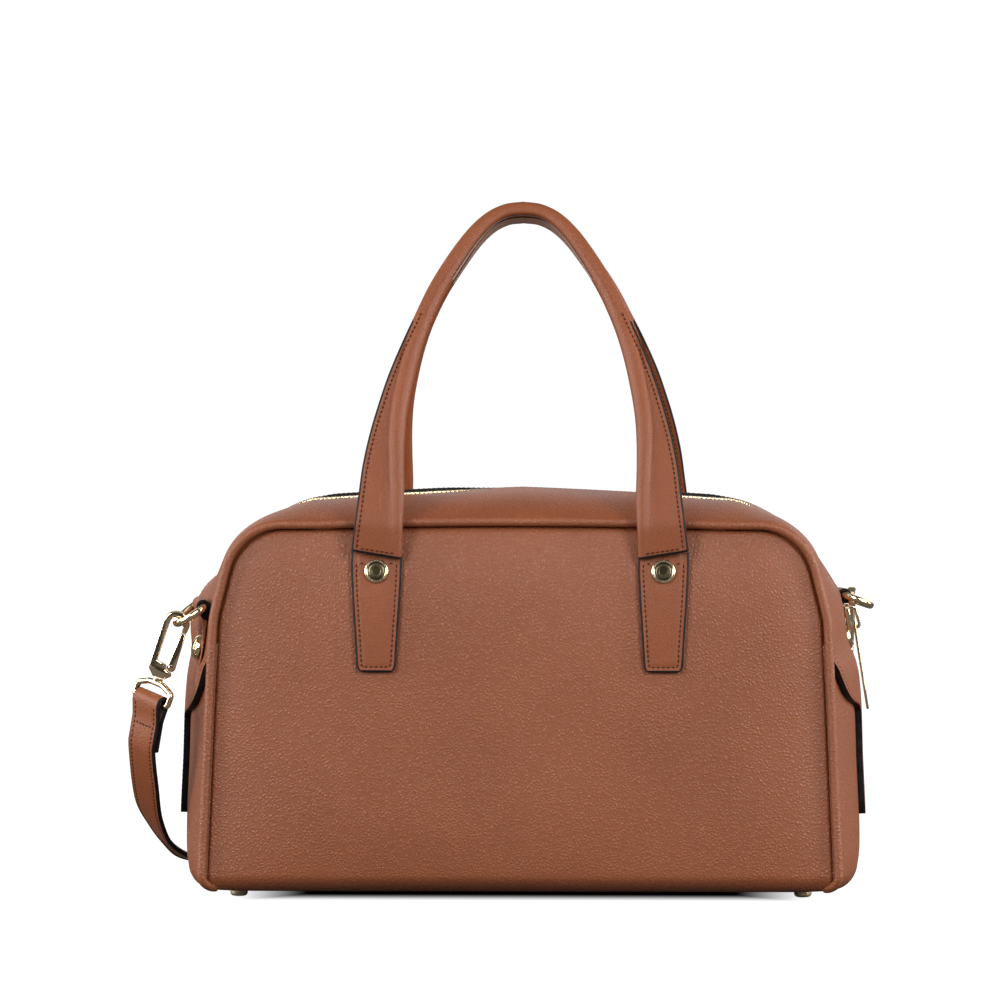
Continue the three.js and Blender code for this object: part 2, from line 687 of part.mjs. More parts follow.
// Handles
const handleDepth = (side, z, crown) => {
  const base = panelFace(side, TAB_X, HANDLE_END_Z) + TAB_SEAT + TAB_LEATHER + GAP + HANDLE[0].inner;
  const rise = Math.max(0, (z - HANDLE_LEAN_Z) / (crown - HANDLE_LEAN_Z));
  const ease = rise ** 1.15;
  return THREE.MathUtils.lerp(base, HANDLE_CROWN_Y, ease);
};
for (const { name, side, drop } of HANDLES) {
  const crown = HANDLE[HANDLE.length - 1].z - drop;
  const arch = [
    ...HANDLE.map((row) => ({ ...row, turn: -1 })),
    ...HANDLE.slice(0, -1).reverse().map((row) => ({ ...row, turn: 1 })),
  ];
  const path = arch.map((row) => {
    const z = row.z - drop * THREE.MathUtils.smoothstep(row.z, 230, HANDLE[HANDLE.length - 1].z);
    return new V3(row.turn * row.span, side * handleDepth(side, z, crown), z);
  });
  const along = directions(path);
  const loops = arch.map((row, k) => {
    const lean = new V3(0, along[k].y, 0);
    const flat = along[k].clone().sub(lean).normalize();
    const outward = new V3(-flat.z, 0, flat.x);
    outward.applyAxisAngle(new V3(0, 1, 0), row.turn * row.slant * RAD);
    const front = new V3().crossVectors(along[k], outward).normalize();
    return Array.from({ length: HANDLE_SIDES }, (_, j) => {
      const angle = (2 * Math.PI * (j + 0.5)) / HANDLE_SIDES;
      const [c, s] = [Math.cos(angle), Math.sin(angle)];
      const wide = Math.sign(c) * Math.abs(c) ** row.square;
      const thick = Math.sign(s) * Math.abs(s) ** row.square;
      const deep = thick * THREE.MathUtils.lerp(row.inner, row.outer, (1 + wide) / 2);
      return path[k].clone().addScaledVector(outward, row.half * wide).addScaledVector(front, deep);
    });
  });
  add(name, loft(loops), TAN);
}

// Handle tabs and their rivets
for (const corner of CORNERS) {
  const columns = steps(-1, 1, 4);
  const x = corner.x * TAB_X;
  const surface = (lift) => (i, j) => {
    const row = TAB[i];
    const across = x + columns[j] * row.half;
    return new V3(across, corner.y * (panelFace(corner.y, across, row.z) + lift), row.z);
  };
  const tab = wall(TAB.length, columns.length, surface(TAB_SEAT + TAB_LEATHER), surface(TAB_SEAT));
  add(`tab_${corner.name}`, tab, TAN);

  const [above, middle, below] = [5, 0, -5].map((step) => panelFace(corner.y, x, RIVET_Z + step));
  const slope = (above - below) / 10;
  const axis = new V3(0, corner.y, -slope).normalize();
  const foot = new V3(x, corner.y * (middle + TAB_SEAT + TAB_LEATHER), RIVET_Z);
  foot.addScaledVector(axis, GAP);
  const cap = [[0, 0], [RIVET_R, 0], [RIVET_R, 0.6], [RIVET_R * 0.8, 1.3], [RIVET_R * 0.7, 0.9], [0, 1.2]];
  add(`rivet_${corner.name}`, turned(cap, 16, foot, axis), GOLD);
}

// Leather loop, dome stud and D-ring on the gusset
function ringSet(name, frame, droop) {
  const loop = new THREE.Shape();
  loop.moveTo(GAP, -LOOP_TAIL);
  loop.lineTo(GAP + LOOP_THICK, -LOOP_TAIL);
  loop.lineTo(GAP + LOOP_THICK, -6);
  for (const angle of steps(-50, 185, 9)) {
    loop.lineTo(BAR_OUT + LOOP_R * Math.cos(angle * RAD), LOOP_R * Math.sin(angle * RAD));
  }
  loop.lineTo(GAP, -4);
  const eye = new THREE.Path();
  eye.absarc(BAR_OUT, 0, WIRE_R + GAP, 0, 2 * Math.PI, true);
  loop.holes.push(eye);
  add(`ring_loop_${name}`, plate(loop, LOOP_WIDTH, frame.basis), TAN);

  const seat = new V3(GAP + LOOP_THICK + GAP, -STUD_DROP, 0).applyMatrix4(frame.basis);
  const dome = [[0, 0], [STUD_R, 0], [STUD_R, 0.7], [STUD_R * 0.86, 2.1], [STUD_R * 0.5, 3.2], [0, 3.6]];
  add(`stud_${name}`, turned(dome, 16, seat, frame.out), GOLD);

  const bar = new V3(BAR_OUT, 0, 0).applyMatrix4(frame.basis);
  const reach = frame.out.clone().multiplyScalar(Math.cos(droop * RAD));
  reach.addScaledVector(frame.up, -Math.sin(droop * RAD));
  const flat = [];
  for (const turn of [1, -1]) {
    const side = [];
    for (const angle of steps(-90, 0, 3)) {
      const x = RING_HALF - RING_FILLET + RING_FILLET * Math.cos(angle * RAD);
      side.push([turn * x, RING_FILLET + RING_FILLET * Math.sin(angle * RAD)]);
    }
    for (const angle of steps(0, 90, 5)) {
      const out = RING_DEPTH - RING_HALF + RING_HALF * Math.sin(angle * RAD);
      side.push([turn * RING_HALF * Math.cos(angle * RAD), out]);
    }
    flat.push(...(turn > 0 ? side : side.reverse().slice(1)));
  }
  const path = flat.map(([a, b]) => bar.clone().addScaledVector(frame.across, a).addScaledVector(reach, b));
  const normal = new V3().crossVectors(frame.across, reach).normalize();
  add(`d_ring_${name}`, wire(path, WIRE_R, 8, normal, true), GOLD);
  return { bar, reach, across: frame.across };
}

// Clasp hanging from a ring: down runs along it, open points from the spine to the gate
function clasp(name, seat, down, open, barAcross) {
  const origin = seat.clone().addScaledVector(down, HOOK_IN - WIRE_R - 3 * GAP);
  const basis = basisAt(origin, open, down);

  const hook = new THREE.Shape();
  hook.moveTo(-HOOK_OUT, BASE_END - 4);
  for (const angle of steps(180, 360, 10)) {
    hook.lineTo(HOOK_OUT * Math.cos(angle * RAD), HOOK_OUT * Math.sin(angle * RAD));
  }
  hook.lineTo(HOOK_OUT - 0.4, HOOK_TIP);
  hook.lineTo(HOOK_IN + 0.6, HOOK_TIP);
  for (const angle of steps(360, 180, 8)) {
    hook.lineTo(HOOK_IN * Math.cos(angle * RAD), HOOK_IN * Math.sin(angle * RAD));
  }
  hook.lineTo(-HOOK_IN, BASE_TOP);
  for (const angle of steps(190, 75, 6)) {
    const r = KNUCKLE_R + GAP;
    hook.lineTo(GATE_PIVOT_IN + r * Math.cos(angle * RAD), GATE_PIVOT_DOWN + r * Math.sin(angle * RAD));
  }
  hook.lineTo(HOOK_OUT - 0.8, BASE_END - 2.4);
  hook.lineTo(3, BASE_END);
  hook.lineTo(-3, BASE_END);
  add(`clasp_hook_${name}`, plate(hook, HOOK_THICK, basis), GOLD);

  const gate = new THREE.Shape();
  gate.moveTo(HOOK_IN + 0.5, HOOK_TIP + GAP);
  gate.lineTo(HOOK_OUT - 0.5, HOOK_TIP + GAP);
  for (const angle of steps(-15, 205, 9)) {
    const across = GATE_PIVOT_IN + KNUCKLE_R * Math.cos(angle * RAD);
    gate.lineTo(across, GATE_PIVOT_DOWN + KNUCKLE_R * Math.sin(angle * RAD));
  }
  add(`clasp_gate_${name}`, plate(gate, HOOK_THICK - 1, basis), GOLD);
  // Turning point of the gate
  group.userData[`gate_${name}`] = new V3(GATE_PIVOT_IN, GATE_PIVOT_DOWN, 0).applyMatrix4(basis);

  // Swivel post and the bracket that holds the strap
  const along = (across, depth) =>
    origin.clone().addScaledVector(barAcross, across).addScaledVector(down, depth);
  const path = [
    ...BRACKET.map((row) => along(row.across, row.down)),
    ...BRACKET.slice().reverse().map((row) => along(-row.across, row.down)),
  ];
  const normal = new V3().crossVectors(barAcross, down).normalize();
  const post = [[0, 0], [2.4, 0], [2.4, 1.6], [1.8, 1.9], [1.8, 2.8], [0, 2.8]];
  const pieces = [
    wire(path, BRACKET_R, 8, normal, true),
    turned(post, 12, origin.clone().addScaledVector(down, BASE_END + GAP), down),
  ];
  add(`strap_bracket_${name}`, joined(pieces), GOLD);
  return { bar: along(0, BRACKET_BAR), across: barAcross };
}

// Steepest way down across a bracket's bar
function plumb(across) {
  return new V3(0, 0, -1).addScaledVector(across, across.z).normalize();
}

const leftFrame = gussetFrame(-alongAt(137), -45, 0);
const leftRing = ringSet('left', leftFrame, 50);
const leftTip = leftRing.bar.clone().addScaledVector(leftRing.reach, RING_DEPTH);
const LEFT_TILT = 18.5 * RAD;
const leftDown = new V3(-Math.sin(LEFT_TILT), 0, -Math.cos(LEFT_TILT));
const leftOpen = new V3(Math.cos(LEFT_TILT), 0, -Math.sin(LEFT_TILT));
const leftTurn = -42 * RAD;
const leftAcross = leftOpen.clone().applyAxisAngle(leftDown, -leftTurn);
const leftEnd = { ...clasp('left', leftTip, leftDown, leftOpen, leftAcross), down: plumb(leftAcross) };

// On the right the strap pulls from behind, so the hook has slid to the rear of its ring
const rightFrame = gussetFrame(alongAt(136), 44, 0);
const rightRing = ringSet('right', rightFrame, 34);
const rear = rightRing.across.clone().multiplyScalar(Math.sign(rightRing.across.y));
const HOOK_SEAT = LOOP_R + HOOK_THICK / 2 + 4 * GAP;
const seatTurn = Math.asin((HOOK_SEAT - RING_DEPTH + RING_HALF) / RING_HALF);
const rightSeat = rightRing.bar.clone().addScaledVector(rightRing.reach, HOOK_SEAT);
rightSeat.addScaledVector(rear, RING_HALF * Math.cos(seatTurn));
const rightDown = new V3(-0.04, 0.26, -1).normalize();
const rightOpen = new V3(0, -1, 0).addScaledVector(rightDown, rightDown.y).normalize();
const rightEnd = { ...clasp('right', rightSeat, rightDown, rightOpen, rightOpen), down: rightDown };

// Shoulder strap: folded round both brackets, hanging on the left and lying in an arc behind the bag
{
  const NEAR = STRAP_THICK / 2 + 0.16;
  const FOLD_R = BRACKET_R + GAP + STRAP_THICK / 2 + 0.05;
  const fold = (end, outward) => {
    const at = (n, depth) => ({
      p: end.bar.clone().addScaledVector(outward, n).addScaledVector(end.down, depth),
      across: end.across,
    });
    return [
      at(-NEAR, FOLD_BACK),
      at(-NEAR, 9),
      at(-FOLD_R, 1.5),
      ...steps(180, 0, 6)
        .map((angle) => angle * RAD)
        .map((turn) => at(FOLD_R * Math.cos(turn), -FOLD_R * Math.sin(turn))),
      at(FOLD_R, 1.5),
      at(NEAR, 9),
      at(NEAR, FOLD_BACK - 2),
    ];
  };
  const leftOut = new V3().crossVectors(leftEnd.down, leftEnd.across).normalize();
  const rightOut = new V3().crossVectors(rightEnd.across, rightEnd.down).normalize();
  const start = fold(leftEnd, leftOut);
  const finish = fold(rightEnd, rightOut).reverse();

  const lying = (bank) =>
    (STRAP_WIDTH / 2) * Math.sin(bank * RAD) + (STRAP_THICK / 2) * Math.cos(bank * RAD);
  const { left, right, start: arcY, reach, rows, bankEnds, bankMiddle } = FLOOR_ARC;
  const arc = steps(0, 180, rows - 1).map((angle) => {
    const bank = THREE.MathUtils.lerp(bankEnds, bankMiddle, Math.sin(angle * RAD));
    return {
      x: (left + right) / 2 + ((left - right) / 2) * Math.cos(angle * RAD),
      y: arcY + reach * Math.sin(angle * RAD),
      z: lying(bank),
      heading: -angle,
      bank,
    };
  });
  const rowsAll = [...STRAP_LEFT, ...arc, ...STRAP_RIGHT].map((row) => ({
    p: new V3(row.x, row.y, row.z),
    across: new V3(
      Math.cos(row.heading * RAD) * Math.cos(row.bank * RAD),
      Math.sin(row.heading * RAD) * Math.cos(row.bank * RAD),
      Math.sin(row.bank * RAD),
    ),
  }));
  const guide = [start[start.length - 1], ...rowsAll, finish[0]];
  const line = new THREE.CatmullRomCurve3(guide.map((g) => g.p), false, 'centripetal');
  const turn = new THREE.CatmullRomCurve3(guide.map((g) => g.across), false, 'centripetal');
  const run = steps(0, 1, 4 * (guide.length - 1)).slice(1, -1).map((t) => ({
    p: line.getPoint(t),
    across: turn.getPoint(t).normalize(),
  }));
  const stations = [...start, ...run, ...finish];
  const along = directions(stations.map((k) => k.p));
  const loops = stations.map((k, i) => {
    const across = k.across.clone().addScaledVector(along[i], -k.across.dot(along[i])).normalize();
    const out = new V3().crossVectors(along[i], across).normalize();
    const loop = [[1, 1], [-1, 1], [-1, -1], [1, -1]].map(([a, b]) => {
      const edge = k.p.clone().addScaledVector(across, (a * STRAP_WIDTH) / 2);
      return edge.addScaledVector(out, (b * STRAP_THICK) / 2);
    });
    const sunk = Math.max(0, -Math.min(...loop.map((q) => q.z)));
    return loop.map((q) => q.setZ(q.z + sunk));
  });
  add('shoulder_strap', loft(loops), TAN);
}

// The origin is the middle of the footprint, on the floor
const box = new THREE.Box3().setFromObject(group);
const shift = new V3(-(box.min.x + box.max.x) / 2, -(box.min.y + box.max.y) / 2, -box.min.z);
for (const mesh of group.children) mesh.geometry.translate(shift.x, shift.y, shift.z);
group.userData.shift = shift;

export default group;
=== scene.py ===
import math
from bisect import bisect_right

import bpy
import numpy as np
from mathutils import Matrix, Vector, noise


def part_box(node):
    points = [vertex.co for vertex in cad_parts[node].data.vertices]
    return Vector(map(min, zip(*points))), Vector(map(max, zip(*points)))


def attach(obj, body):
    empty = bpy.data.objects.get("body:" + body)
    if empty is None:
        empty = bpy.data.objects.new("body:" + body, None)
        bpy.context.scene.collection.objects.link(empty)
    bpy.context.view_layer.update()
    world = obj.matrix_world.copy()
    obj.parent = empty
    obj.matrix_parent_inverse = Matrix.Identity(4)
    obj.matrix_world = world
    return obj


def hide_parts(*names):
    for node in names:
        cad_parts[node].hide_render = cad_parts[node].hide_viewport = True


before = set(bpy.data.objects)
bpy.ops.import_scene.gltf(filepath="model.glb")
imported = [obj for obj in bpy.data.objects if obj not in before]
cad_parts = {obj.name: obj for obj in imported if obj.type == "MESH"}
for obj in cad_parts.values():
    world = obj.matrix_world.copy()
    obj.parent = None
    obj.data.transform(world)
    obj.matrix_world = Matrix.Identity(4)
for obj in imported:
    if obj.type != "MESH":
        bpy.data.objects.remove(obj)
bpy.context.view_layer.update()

# Lengths below are millimetres, measured from the middle of the bag on the floor
MM = 0.001
RAD = math.pi / 180

# Body
LEATHER = 2.0
HALF_BOTTOM = 152.0
HALF_SHOULDER = 146.5
BOTTOM_Z = 5.0
TOP_Z = 177.5
TOP_ARCH = 1.5
CORNER_R = 50.0
SQUARE_R = 28.0
SQUARE_FROM = 14.0
FRONT_RISE = 2.2
ROLL_R = 6.5
HALF_DEPTH_BOTTOM = 68.0
HALF_DEPTH_TOP = 61.0
PIPE_R = 2.2
PANEL_PUFF = 8.0
PANEL_MIDDLE = 92.0
PUFF_REACH_DOWN = 98.0
PUFF_POWER_ACROSS = 4
PUFF_POWER_UP = 3.5
BOTTOM_SAG = 2.4
BOTTOM_SEAT = 0.3
BOTTOM_TUCK_X = 2.0
BOTTOM_TUCK_Y = 1.5
BULGE_POWER = 2.4
BULGE = {
    "along": (0, 95, 130, 155, 165, 180, 200, 240, 275, 290, 302),
    "out": (14.5, 11, 9.8, 7.4, 7.2, 8.8, 13.2, 13.4, 13.2, 11.5, 6),
}
SHOULDER_DENT = {"depth": 8.5, "spread": 30, "start": 98, "full": 130, "fade": 140, "end": 161}
LEFT_FULL = {"out": 5.2, "along": -173, "spread": 13, "from": -40, "to": -15}

# Flaps at the ends of the top gusset: half width by height
FLAP = {
    "z": (35.5, 37, 41, 60, 81, 85, 87.5, 90.5, 95.5, 101, 107.5, 117),
    "half": (8, 11.5, 13, 13, 13.6, 21.5, 33.5, 43, 50.5, 55, 58, 60.4),
}
FLAP_RAISE = {"lift": 4.0, "start": 50, "full": 80, "fade": 104, "end": 117}
FLAP_STAND = 0.5
FLAP_FREE = 10.0
FLAP_CURL = {"lift": 1.3, "start": 1, "full": 9, "inner": 30, "outer": 58}
FLAP_LEATHER = 3.0
GUSSET_INSET = 2.0
SEAM_DIP = {"depth": 0.9, "spread": 2.6}
UNDER_FLAP_Z = 121.5
SIDE_BACK = 2.6
SIDE_BACK_SEAM = 1.2
SIDE_BACK_POWER = 6
SIDE_DIP_SHARE = 0.6
SIDE_TUCK = 1.5

# Zip
SLOT_HALF = 4.4
ZIP_END_Z = 124.5
TAPE_THICK = 1.0
TAPE_SINK = 1.2
TOOTH = (1.25, 3.4, 1.9)
TOOTH_BEVEL = 0.35
TOOTH_PITCH = 2.1
TOOTH_LIFT = -0.6
TOOTH_SIDE = 0.75
ZIP_EDGE_REACH = 9.0
ZIP_EDGE_FADE = 14.0
ZIP_EDGE_FRONT = 0.6
ZIP_EDGE_BACK = {"rise": 1.4, "fade": 88, "end": 104}
ZIP_SINK = {"depth": 2.4, "start": 112, "full": 126, "fade": 136, "end": 145}
ZIP_HIDDEN = {"rise": 0.7, "start": -42, "full": -6, "fade": 60, "end": 78}
SHOULDER_HIDE = {"rise": 1.3, "start": 112, "full": 126}
SLIDER_Z = 130.0
SLIDER_OUT = 1.8
SLIDER_THICK = 2.6
PULL_OUT = 4.3
PULL_LENGTH = 42.0
PULL_HALF = 3.9
PULL_TIP = 0.7
PULL_LEAN = 9.0
PULL_DROP = 4.1
PULL_BAR = 0.75
PULL_PLAY = 0.14

# Handles, from an end up to the crown
HANDLE = {
    "span": (68.2, 67.3, 66, 65.2, 63.6, 61.2, 57.6, 53, 47.8, 41, 33.4, 24.2, 16, 8, 0),
    "z": (164.2, 176, 191, 205, 219, 232, 246, 260, 273, 287.5, 300, 312.4, 320.2, 324.3, 325.4),
    "half": (12.1, 11.6, 11, 10, 8.6, 7.3, 6.3, 5.2, 4.5, 4.4, 4.4, 4.4, 4.4, 4.3, 4.3),
    "inner": (1.7, 2.4, 3.1, 3.7, 4.2, 4.35, 4.4, 4.4, 4.4, 4.4, 4.4, 4.4, 4.3, 4.2, 4.2),
    "fin": (1.6, 1.6, 1.5, 1.5, 1.5, 1.6, 1.7, 2, 2.6, 3.4, 4, 4.2, 4.2, 4.2, 4.2),
    "slant": (5.5, 0, 0, 0, 0, 0, 0, 0, 0, 0, 0, 0, 0, 0, 0),
}
HANDLE_END_Z = 162.0
HANDLE_LEAN_Z = 178.0
HANDLE_LEAN_POWER = 1.15
HANDLE_DROP_Z = 230.0
HANDLE_CROWN_Y = 5.0
HANDLE_STEPS = 9
HANDLE_DROPS = {"front": 0.0, "back": 3.5}
HANDLE_TWISTS = {"front": 0.0, "back": 35.0}
HANDLE_SQUASH = 0.56
HANDLE_CREASE = {"depth": 0.45, "from_fold": 0.3, "spread": 0.7}
HANDLE_SOFT = {"reach": 1.7, "start": 1.5, "end": 3.5}
FIN_CLOSING = (2.0, 4.0)
FIN_PAINTED = 2.5
END_ROUND = 1.8
ROW_LENGTH = 14.0
CROWN_START = 9.5
CROWN_FULL = 13.0

# Handle tabs and rivets
TAB_X = 68.2
TAB = {
    "z": (108.8, 109.2, 110.2, 111.8, 113.5, 125, 145, 160, 170),
    "half": (6.4, 7.8, 8.8, 9.3, 9.5, 10.2, 11.5, 12.1, 11.7),
}
TAB_LEATHER = 2.0
TAB_SEAT = 0.7
RIVET_Z = 156.5
RIVET_R = 5.4
RIVET_SEAT = 0.35
RIVET_PRESS = {"depth": 0.5, "margin": 1.2}
RIVET_GROWN = 1.12
RIVET = (
    (4.5, -0.5), (5.05, 0.1), (5.1, 0.55), (4.95, 1.1), (4.6, 1.4), (4.2, 1.42), (3.95, 1.2), (3.85, 0.7),
    (3.55, 0.62), (3.42, 0.85), (3.2, 1.0), (2.1, 1.05), (1.8, 0.96), (1.68, 0.6), (0.02, 0.55),
)
RIVET_WELL = 3.9
RIVET_BAND = (1.75, 3.45)

# Feet
FOOT_X = 134.5
FOOT_Y = 51.0
FOOT = ((2.6, 0), (3.4, 0.25), (4, 0.9), (4.2, 1.7), (4.2, 3.4), (3.9, 3.8), (0.02, 3.9))

# Ring sets
GAP = 0.3
WIRE_R = 1.8
RING_HALF = 11.5
RING_DEPTH = 14.5
RING_FILLET = 3.0
LOOP_R = 3.4
LOOP_WIDTH = 16.0
LOOP_TAIL = 31.0
LOOP_THICK = 2.4
LOOP_THIN = 0.6
BAR_OUT = LOOP_R + GAP
STUD_DROP = 20.0
STUD_RIM = ((5.2, -0.3), (6, 0.15), (6, 0.6), (5.75, 0.95))
STUD_DOME = {"foot": 0.95, "radius": 5.6, "height": 2.65}
LEFT_SET = {"z": 137.0, "y": -45.0, "droop": 50.0}
RIGHT_SET = {"z": 136.0, "y": 44.0, "droop": 34.0}
LEFT_TILT = 18.5
LEFT_TURN = 42.0
RIGHT_DOWN = Vector((-0.04, 0.26, -1.0)).normalized()

# Clasps
HOOK_IN = 3.2
HOOK_OUT = 6.4
HOOK_TIP = 3.2
HOOK_THICK = 4.2
BASE_TOP = 19.0
BASE_END = 27.0
GATE_PIVOT_DOWN = 20.5
GATE_PIVOT_IN = 4.2
KNUCKLE_R = 2.2
BRACKET_R = 1.5
BRACKET_BAR = 38.4
BRACKET = ((4.6, 29.8), (11.6, 32.4), (11.6, BRACKET_BAR))
BRACKET_FILLET = 1.6
GATE_PIN = ((1.25, 0), (1.25, 0.35), (1.0, 0.55), (0.5, 0.58), (0.35, 0.4), (0.02, 0.4))
SWIVEL_POST = ((2.1, 0), (2.4, 0.25), (2.4, 1.35), (2.1, 1.6), (1.7, 1.8), (1.7, 2.9), (0.02, 2.9))

# Shoulder strap: the listed points of its route, with the way its width points
STRAP_WIDTH = 18.0
STRAP_THICK = 2.2
FOLD_BACK = 24.0
STRAP_LEFT = (
    {"x": -180.6, "y": -32, "z": 54, "heading": -50, "bank": -3},
    {"x": -179.4, "y": -14, "z": 37.5, "heading": -48, "bank": -18},
    {"x": -175.4, "y": 9, "z": 24.5, "heading": -42, "bank": -32},
    {"x": -169, "y": 40, "z": 14, "heading": -28, "bank": -24},
    {"x": -162, "y": 76, "z": 6, "heading": -17, "bank": -8},
)
STRAP_RIGHT = (
    {"x": 147, "y": 98, "z": 12, "heading": -172, "bank": 10},
    {"x": 156, "y": 84, "z": 33, "heading": -126, "bank": 5},
)
FLOOR_ARC = {"left": -151, "right": 142, "start": 124, "reach": 130, "rows": 7, "ends": 20, "middle": 58}

# Painted edges: radius, the least angle that is rounded, and the lines that shape a rounded border
EDGE_ROUND = 0.9
EDGE_ANGLE = 55.0
BORDER = (0.0, 0.22, 0.55, 1.0)

# Sewing
STITCH_PITCH = 2.4
STITCH_LENGTH = 1.75
STITCH_WIDTH = 0.8
STITCH_LIFT = 0.12
STITCH_INSET = 2.5
GROOVES = {
    "handle": {"depth": 0.3, "spread": 0.8},
    "tab": {"depth": 0.35, "spread": 0.7},
    "strap": {"depth": 0.25, "spread": 0.8},
}

SIDES = {"front": -1, "back": 1}
CORNERS = (
    ("front_left", -1, -1),
    ("front_right", 1, -1),
    ("back_left", -1, 1),
    ("back_right", 1, 1),
)

front_low, front_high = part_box("front_panel")
back_low, back_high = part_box("back_panel")
MIDDLE = Vector(((front_low.x + front_high.x) / 2, (front_low.y + back_high.y) / 2, 0))


def place(point):
    """A point of the bag, in millimetres, as a point of the frame."""
    return MIDDLE + Vector(point) * MM


def steps(start, end, count):
    return [start + (end - start) * k / count for k in range(count + 1)]


def lerp(a, b, share):
    return a + (b - a) * share


def smoothstep(value, low, high):
    share = min(1.0, max(0.0, (value - low) / (high - low)))
    return share * share * (3 - 2 * share)


def stretch(value, row):
    """Share that rises from a row's start to its full and falls from its fade to its end."""
    return smoothstep(value, row["start"], row["full"]) * (1 - smoothstep(value, row["fade"], row["end"]))


def flowing(xs, ys, x):
    """Smooth curve through the points of two columns, read at x."""
    x = min(max(x, xs[0]), xs[-1])
    last = len(xs) - 1
    k = min(bisect_right(xs, x) - 1, last - 1)

    def slope(i):
        before = max(i - 1, 0)
        after = min(i + 1, last)
        return (ys[after] - ys[before]) / (xs[after] - xs[before])

    h = xs[k + 1] - xs[k]
    t = (x - xs[k]) / h
    rise = ys[k + 1] - ys[k]
    a = slope(k) * h - rise
    b = rise - slope(k + 1) * h
    return (1 - t) * ys[k] + t * ys[k + 1] + t * (1 - t) * ((1 - t) * a + t * b)


# Shape of the body

LEAN = math.atan((HALF_BOTTOM - HALF_SHOULDER) / (TOP_Z - CORNER_R - BOTTOM_Z))
CORNER_X = HALF_SHOULDER - CORNER_R * math.cos(LEAN)
CORNER_Z = TOP_Z - TOP_ARCH - CORNER_R
SIDE_TOP_Z = CORNER_Z + CORNER_R * math.sin(LEAN)
SIDE_END_Z = BOTTOM_Z + ROLL_R * (1 + math.sin(LEAN))
SIDE_LEN = (SIDE_TOP_Z - SIDE_END_Z) / math.cos(LEAN)
SIDE_START = CORNER_X + CORNER_R * (math.pi / 2 - LEAN)


def side_x(z):
    return HALF_SHOULDER + (SIDE_TOP_Z - z) * math.tan(LEAN)


ROLL_X = side_x(SIDE_END_Z) - ROLL_R * math.cos(LEAN)
SIDE_END = SIDE_START + SIDE_LEN
SEAM_END = SIDE_END + ROLL_R * (math.pi / 2 + LEAN)


def half_depth(z):
    return lerp(HALF_DEPTH_BOTTOM, HALF_DEPTH_TOP, (z - BOTTOM_Z) / (TOP_Z - BOTTOM_Z))


def along_at(z):
    """Distance along the seam, from the middle of the top, of a height on the side."""
    return SIDE_START + (SIDE_TOP_Z - z) / math.cos(LEAN)


def seam(s):
    """Place (x, z), outward direction and half depth of the seam, s along it from the top's middle."""
    side = -1 if s < 0 else 1
    top = abs(s)
    tuck = 0.0
    if top < CORNER_X:
        x = top
        z = TOP_Z - TOP_ARCH * (top / CORNER_X) ** 2
        angle = math.pi / 2 - math.atan(2 * TOP_ARCH * top / CORNER_X**2)
    elif top < SIDE_START:
        angle = math.pi / 2 - (top - CORNER_X) / CORNER_R
        x = CORNER_X + CORNER_R * math.cos(angle)
        z = CORNER_Z + CORNER_R * math.sin(angle)
    elif top < SIDE_END:
        angle = LEAN
        z = SIDE_TOP_Z - (top - SIDE_START) * math.cos(LEAN)
        x = side_x(z)
    else:
        angle = LEAN - (top - SIDE_END) / ROLL_R
        x = ROLL_X + ROLL_R * math.cos(angle)
        z = BOTTOM_Z + ROLL_R + ROLL_R * math.sin(angle)
        tuck = ROLL_R * (1 - math.cos(min(0.0, angle)))
    return side * x, z, side * math.cos(angle), math.sin(angle), half_depth(z) - tuck


# Tighter corner of the front panel's shoulder, measured from the middle of the rear one's corner
SQUARE_TILT = SQUARE_FROM * RAD
SQUARE_Z = CORNER_R + FRONT_RISE - SQUARE_R
SQUARE_X = (CORNER_R - SQUARE_R - SQUARE_Z * math.sin(SQUARE_TILT)) / math.cos(SQUARE_TILT)
SQUARE_LOW = math.atan2(
    SQUARE_Z + SQUARE_R * math.sin(SQUARE_TILT), SQUARE_X + SQUARE_R * math.cos(SQUARE_TILT)
)
SQUARE_HIGH = math.atan2(SQUARE_Z + SQUARE_R, SQUARE_X)


def square_reach(angle):
    if angle < SQUARE_TILT:
        return CORNER_R
    if angle < SQUARE_LOW:
        return CORNER_R / math.cos(angle - SQUARE_TILT)
    if angle > SQUARE_HIGH:
        return (CORNER_R + FRONT_RISE) / math.sin(angle)
    along = SQUARE_X * math.cos(angle) + SQUARE_Z * math.sin(angle)
    return along + math.sqrt(along**2 - SQUARE_X**2 - SQUARE_Z**2 + SQUARE_R**2)


def squared(x, z, share):
    """Moves a point of the upper body outwards, towards the squarer shoulders of the front."""
    across = abs(x) - CORNER_X
    up = z - CORNER_Z
    if up <= 0 or share <= 0:
        return x, z
    angle = math.atan2(up, max(0.0, across))
    grown = 1 + share * (square_reach(angle) / CORNER_R - 1)
    if across > 0:
        x = math.copysign(CORNER_X + across * grown, x)
    return x, CORNER_Z + up * grown


def front_share(y):
    return min(1.0, max(0.0, -y / HALF_DEPTH_TOP))


def dent(s, y):
    """Where the zip rounds a shoulder it draws the gusset in."""
    near = math.exp(-((y / SHOULDER_DENT["spread"]) ** 2))
    return SHOULDER_DENT["depth"] * stretch(abs(s), SHOULDER_DENT) * near


def left_fullness(s, y):
    """Behind the left ring set the gusset stands fuller."""
    row = LEFT_FULL
    near = math.exp(-(((s - row["along"]) / row["spread"]) ** 2))
    return row["out"] * near * smoothstep(y, row["from"], row["to"])


def gusset(s, y, offset=0.0):
    """Point of the bulging gusset at a depth y, with an offset outwards."""
    x, z, nx, nz, half = seam(s)
    share = 1 - min(1.0, abs(y) / half) ** BULGE_POWER
    bulge = flowing(BULGE["along"], BULGE["out"], abs(s)) + left_fullness(s, y)
    out = bulge * share - dent(s, y) + offset
    x, z = squared(x + nx * out, z + nz * out, front_share(y))
    return Vector((x, y, z))


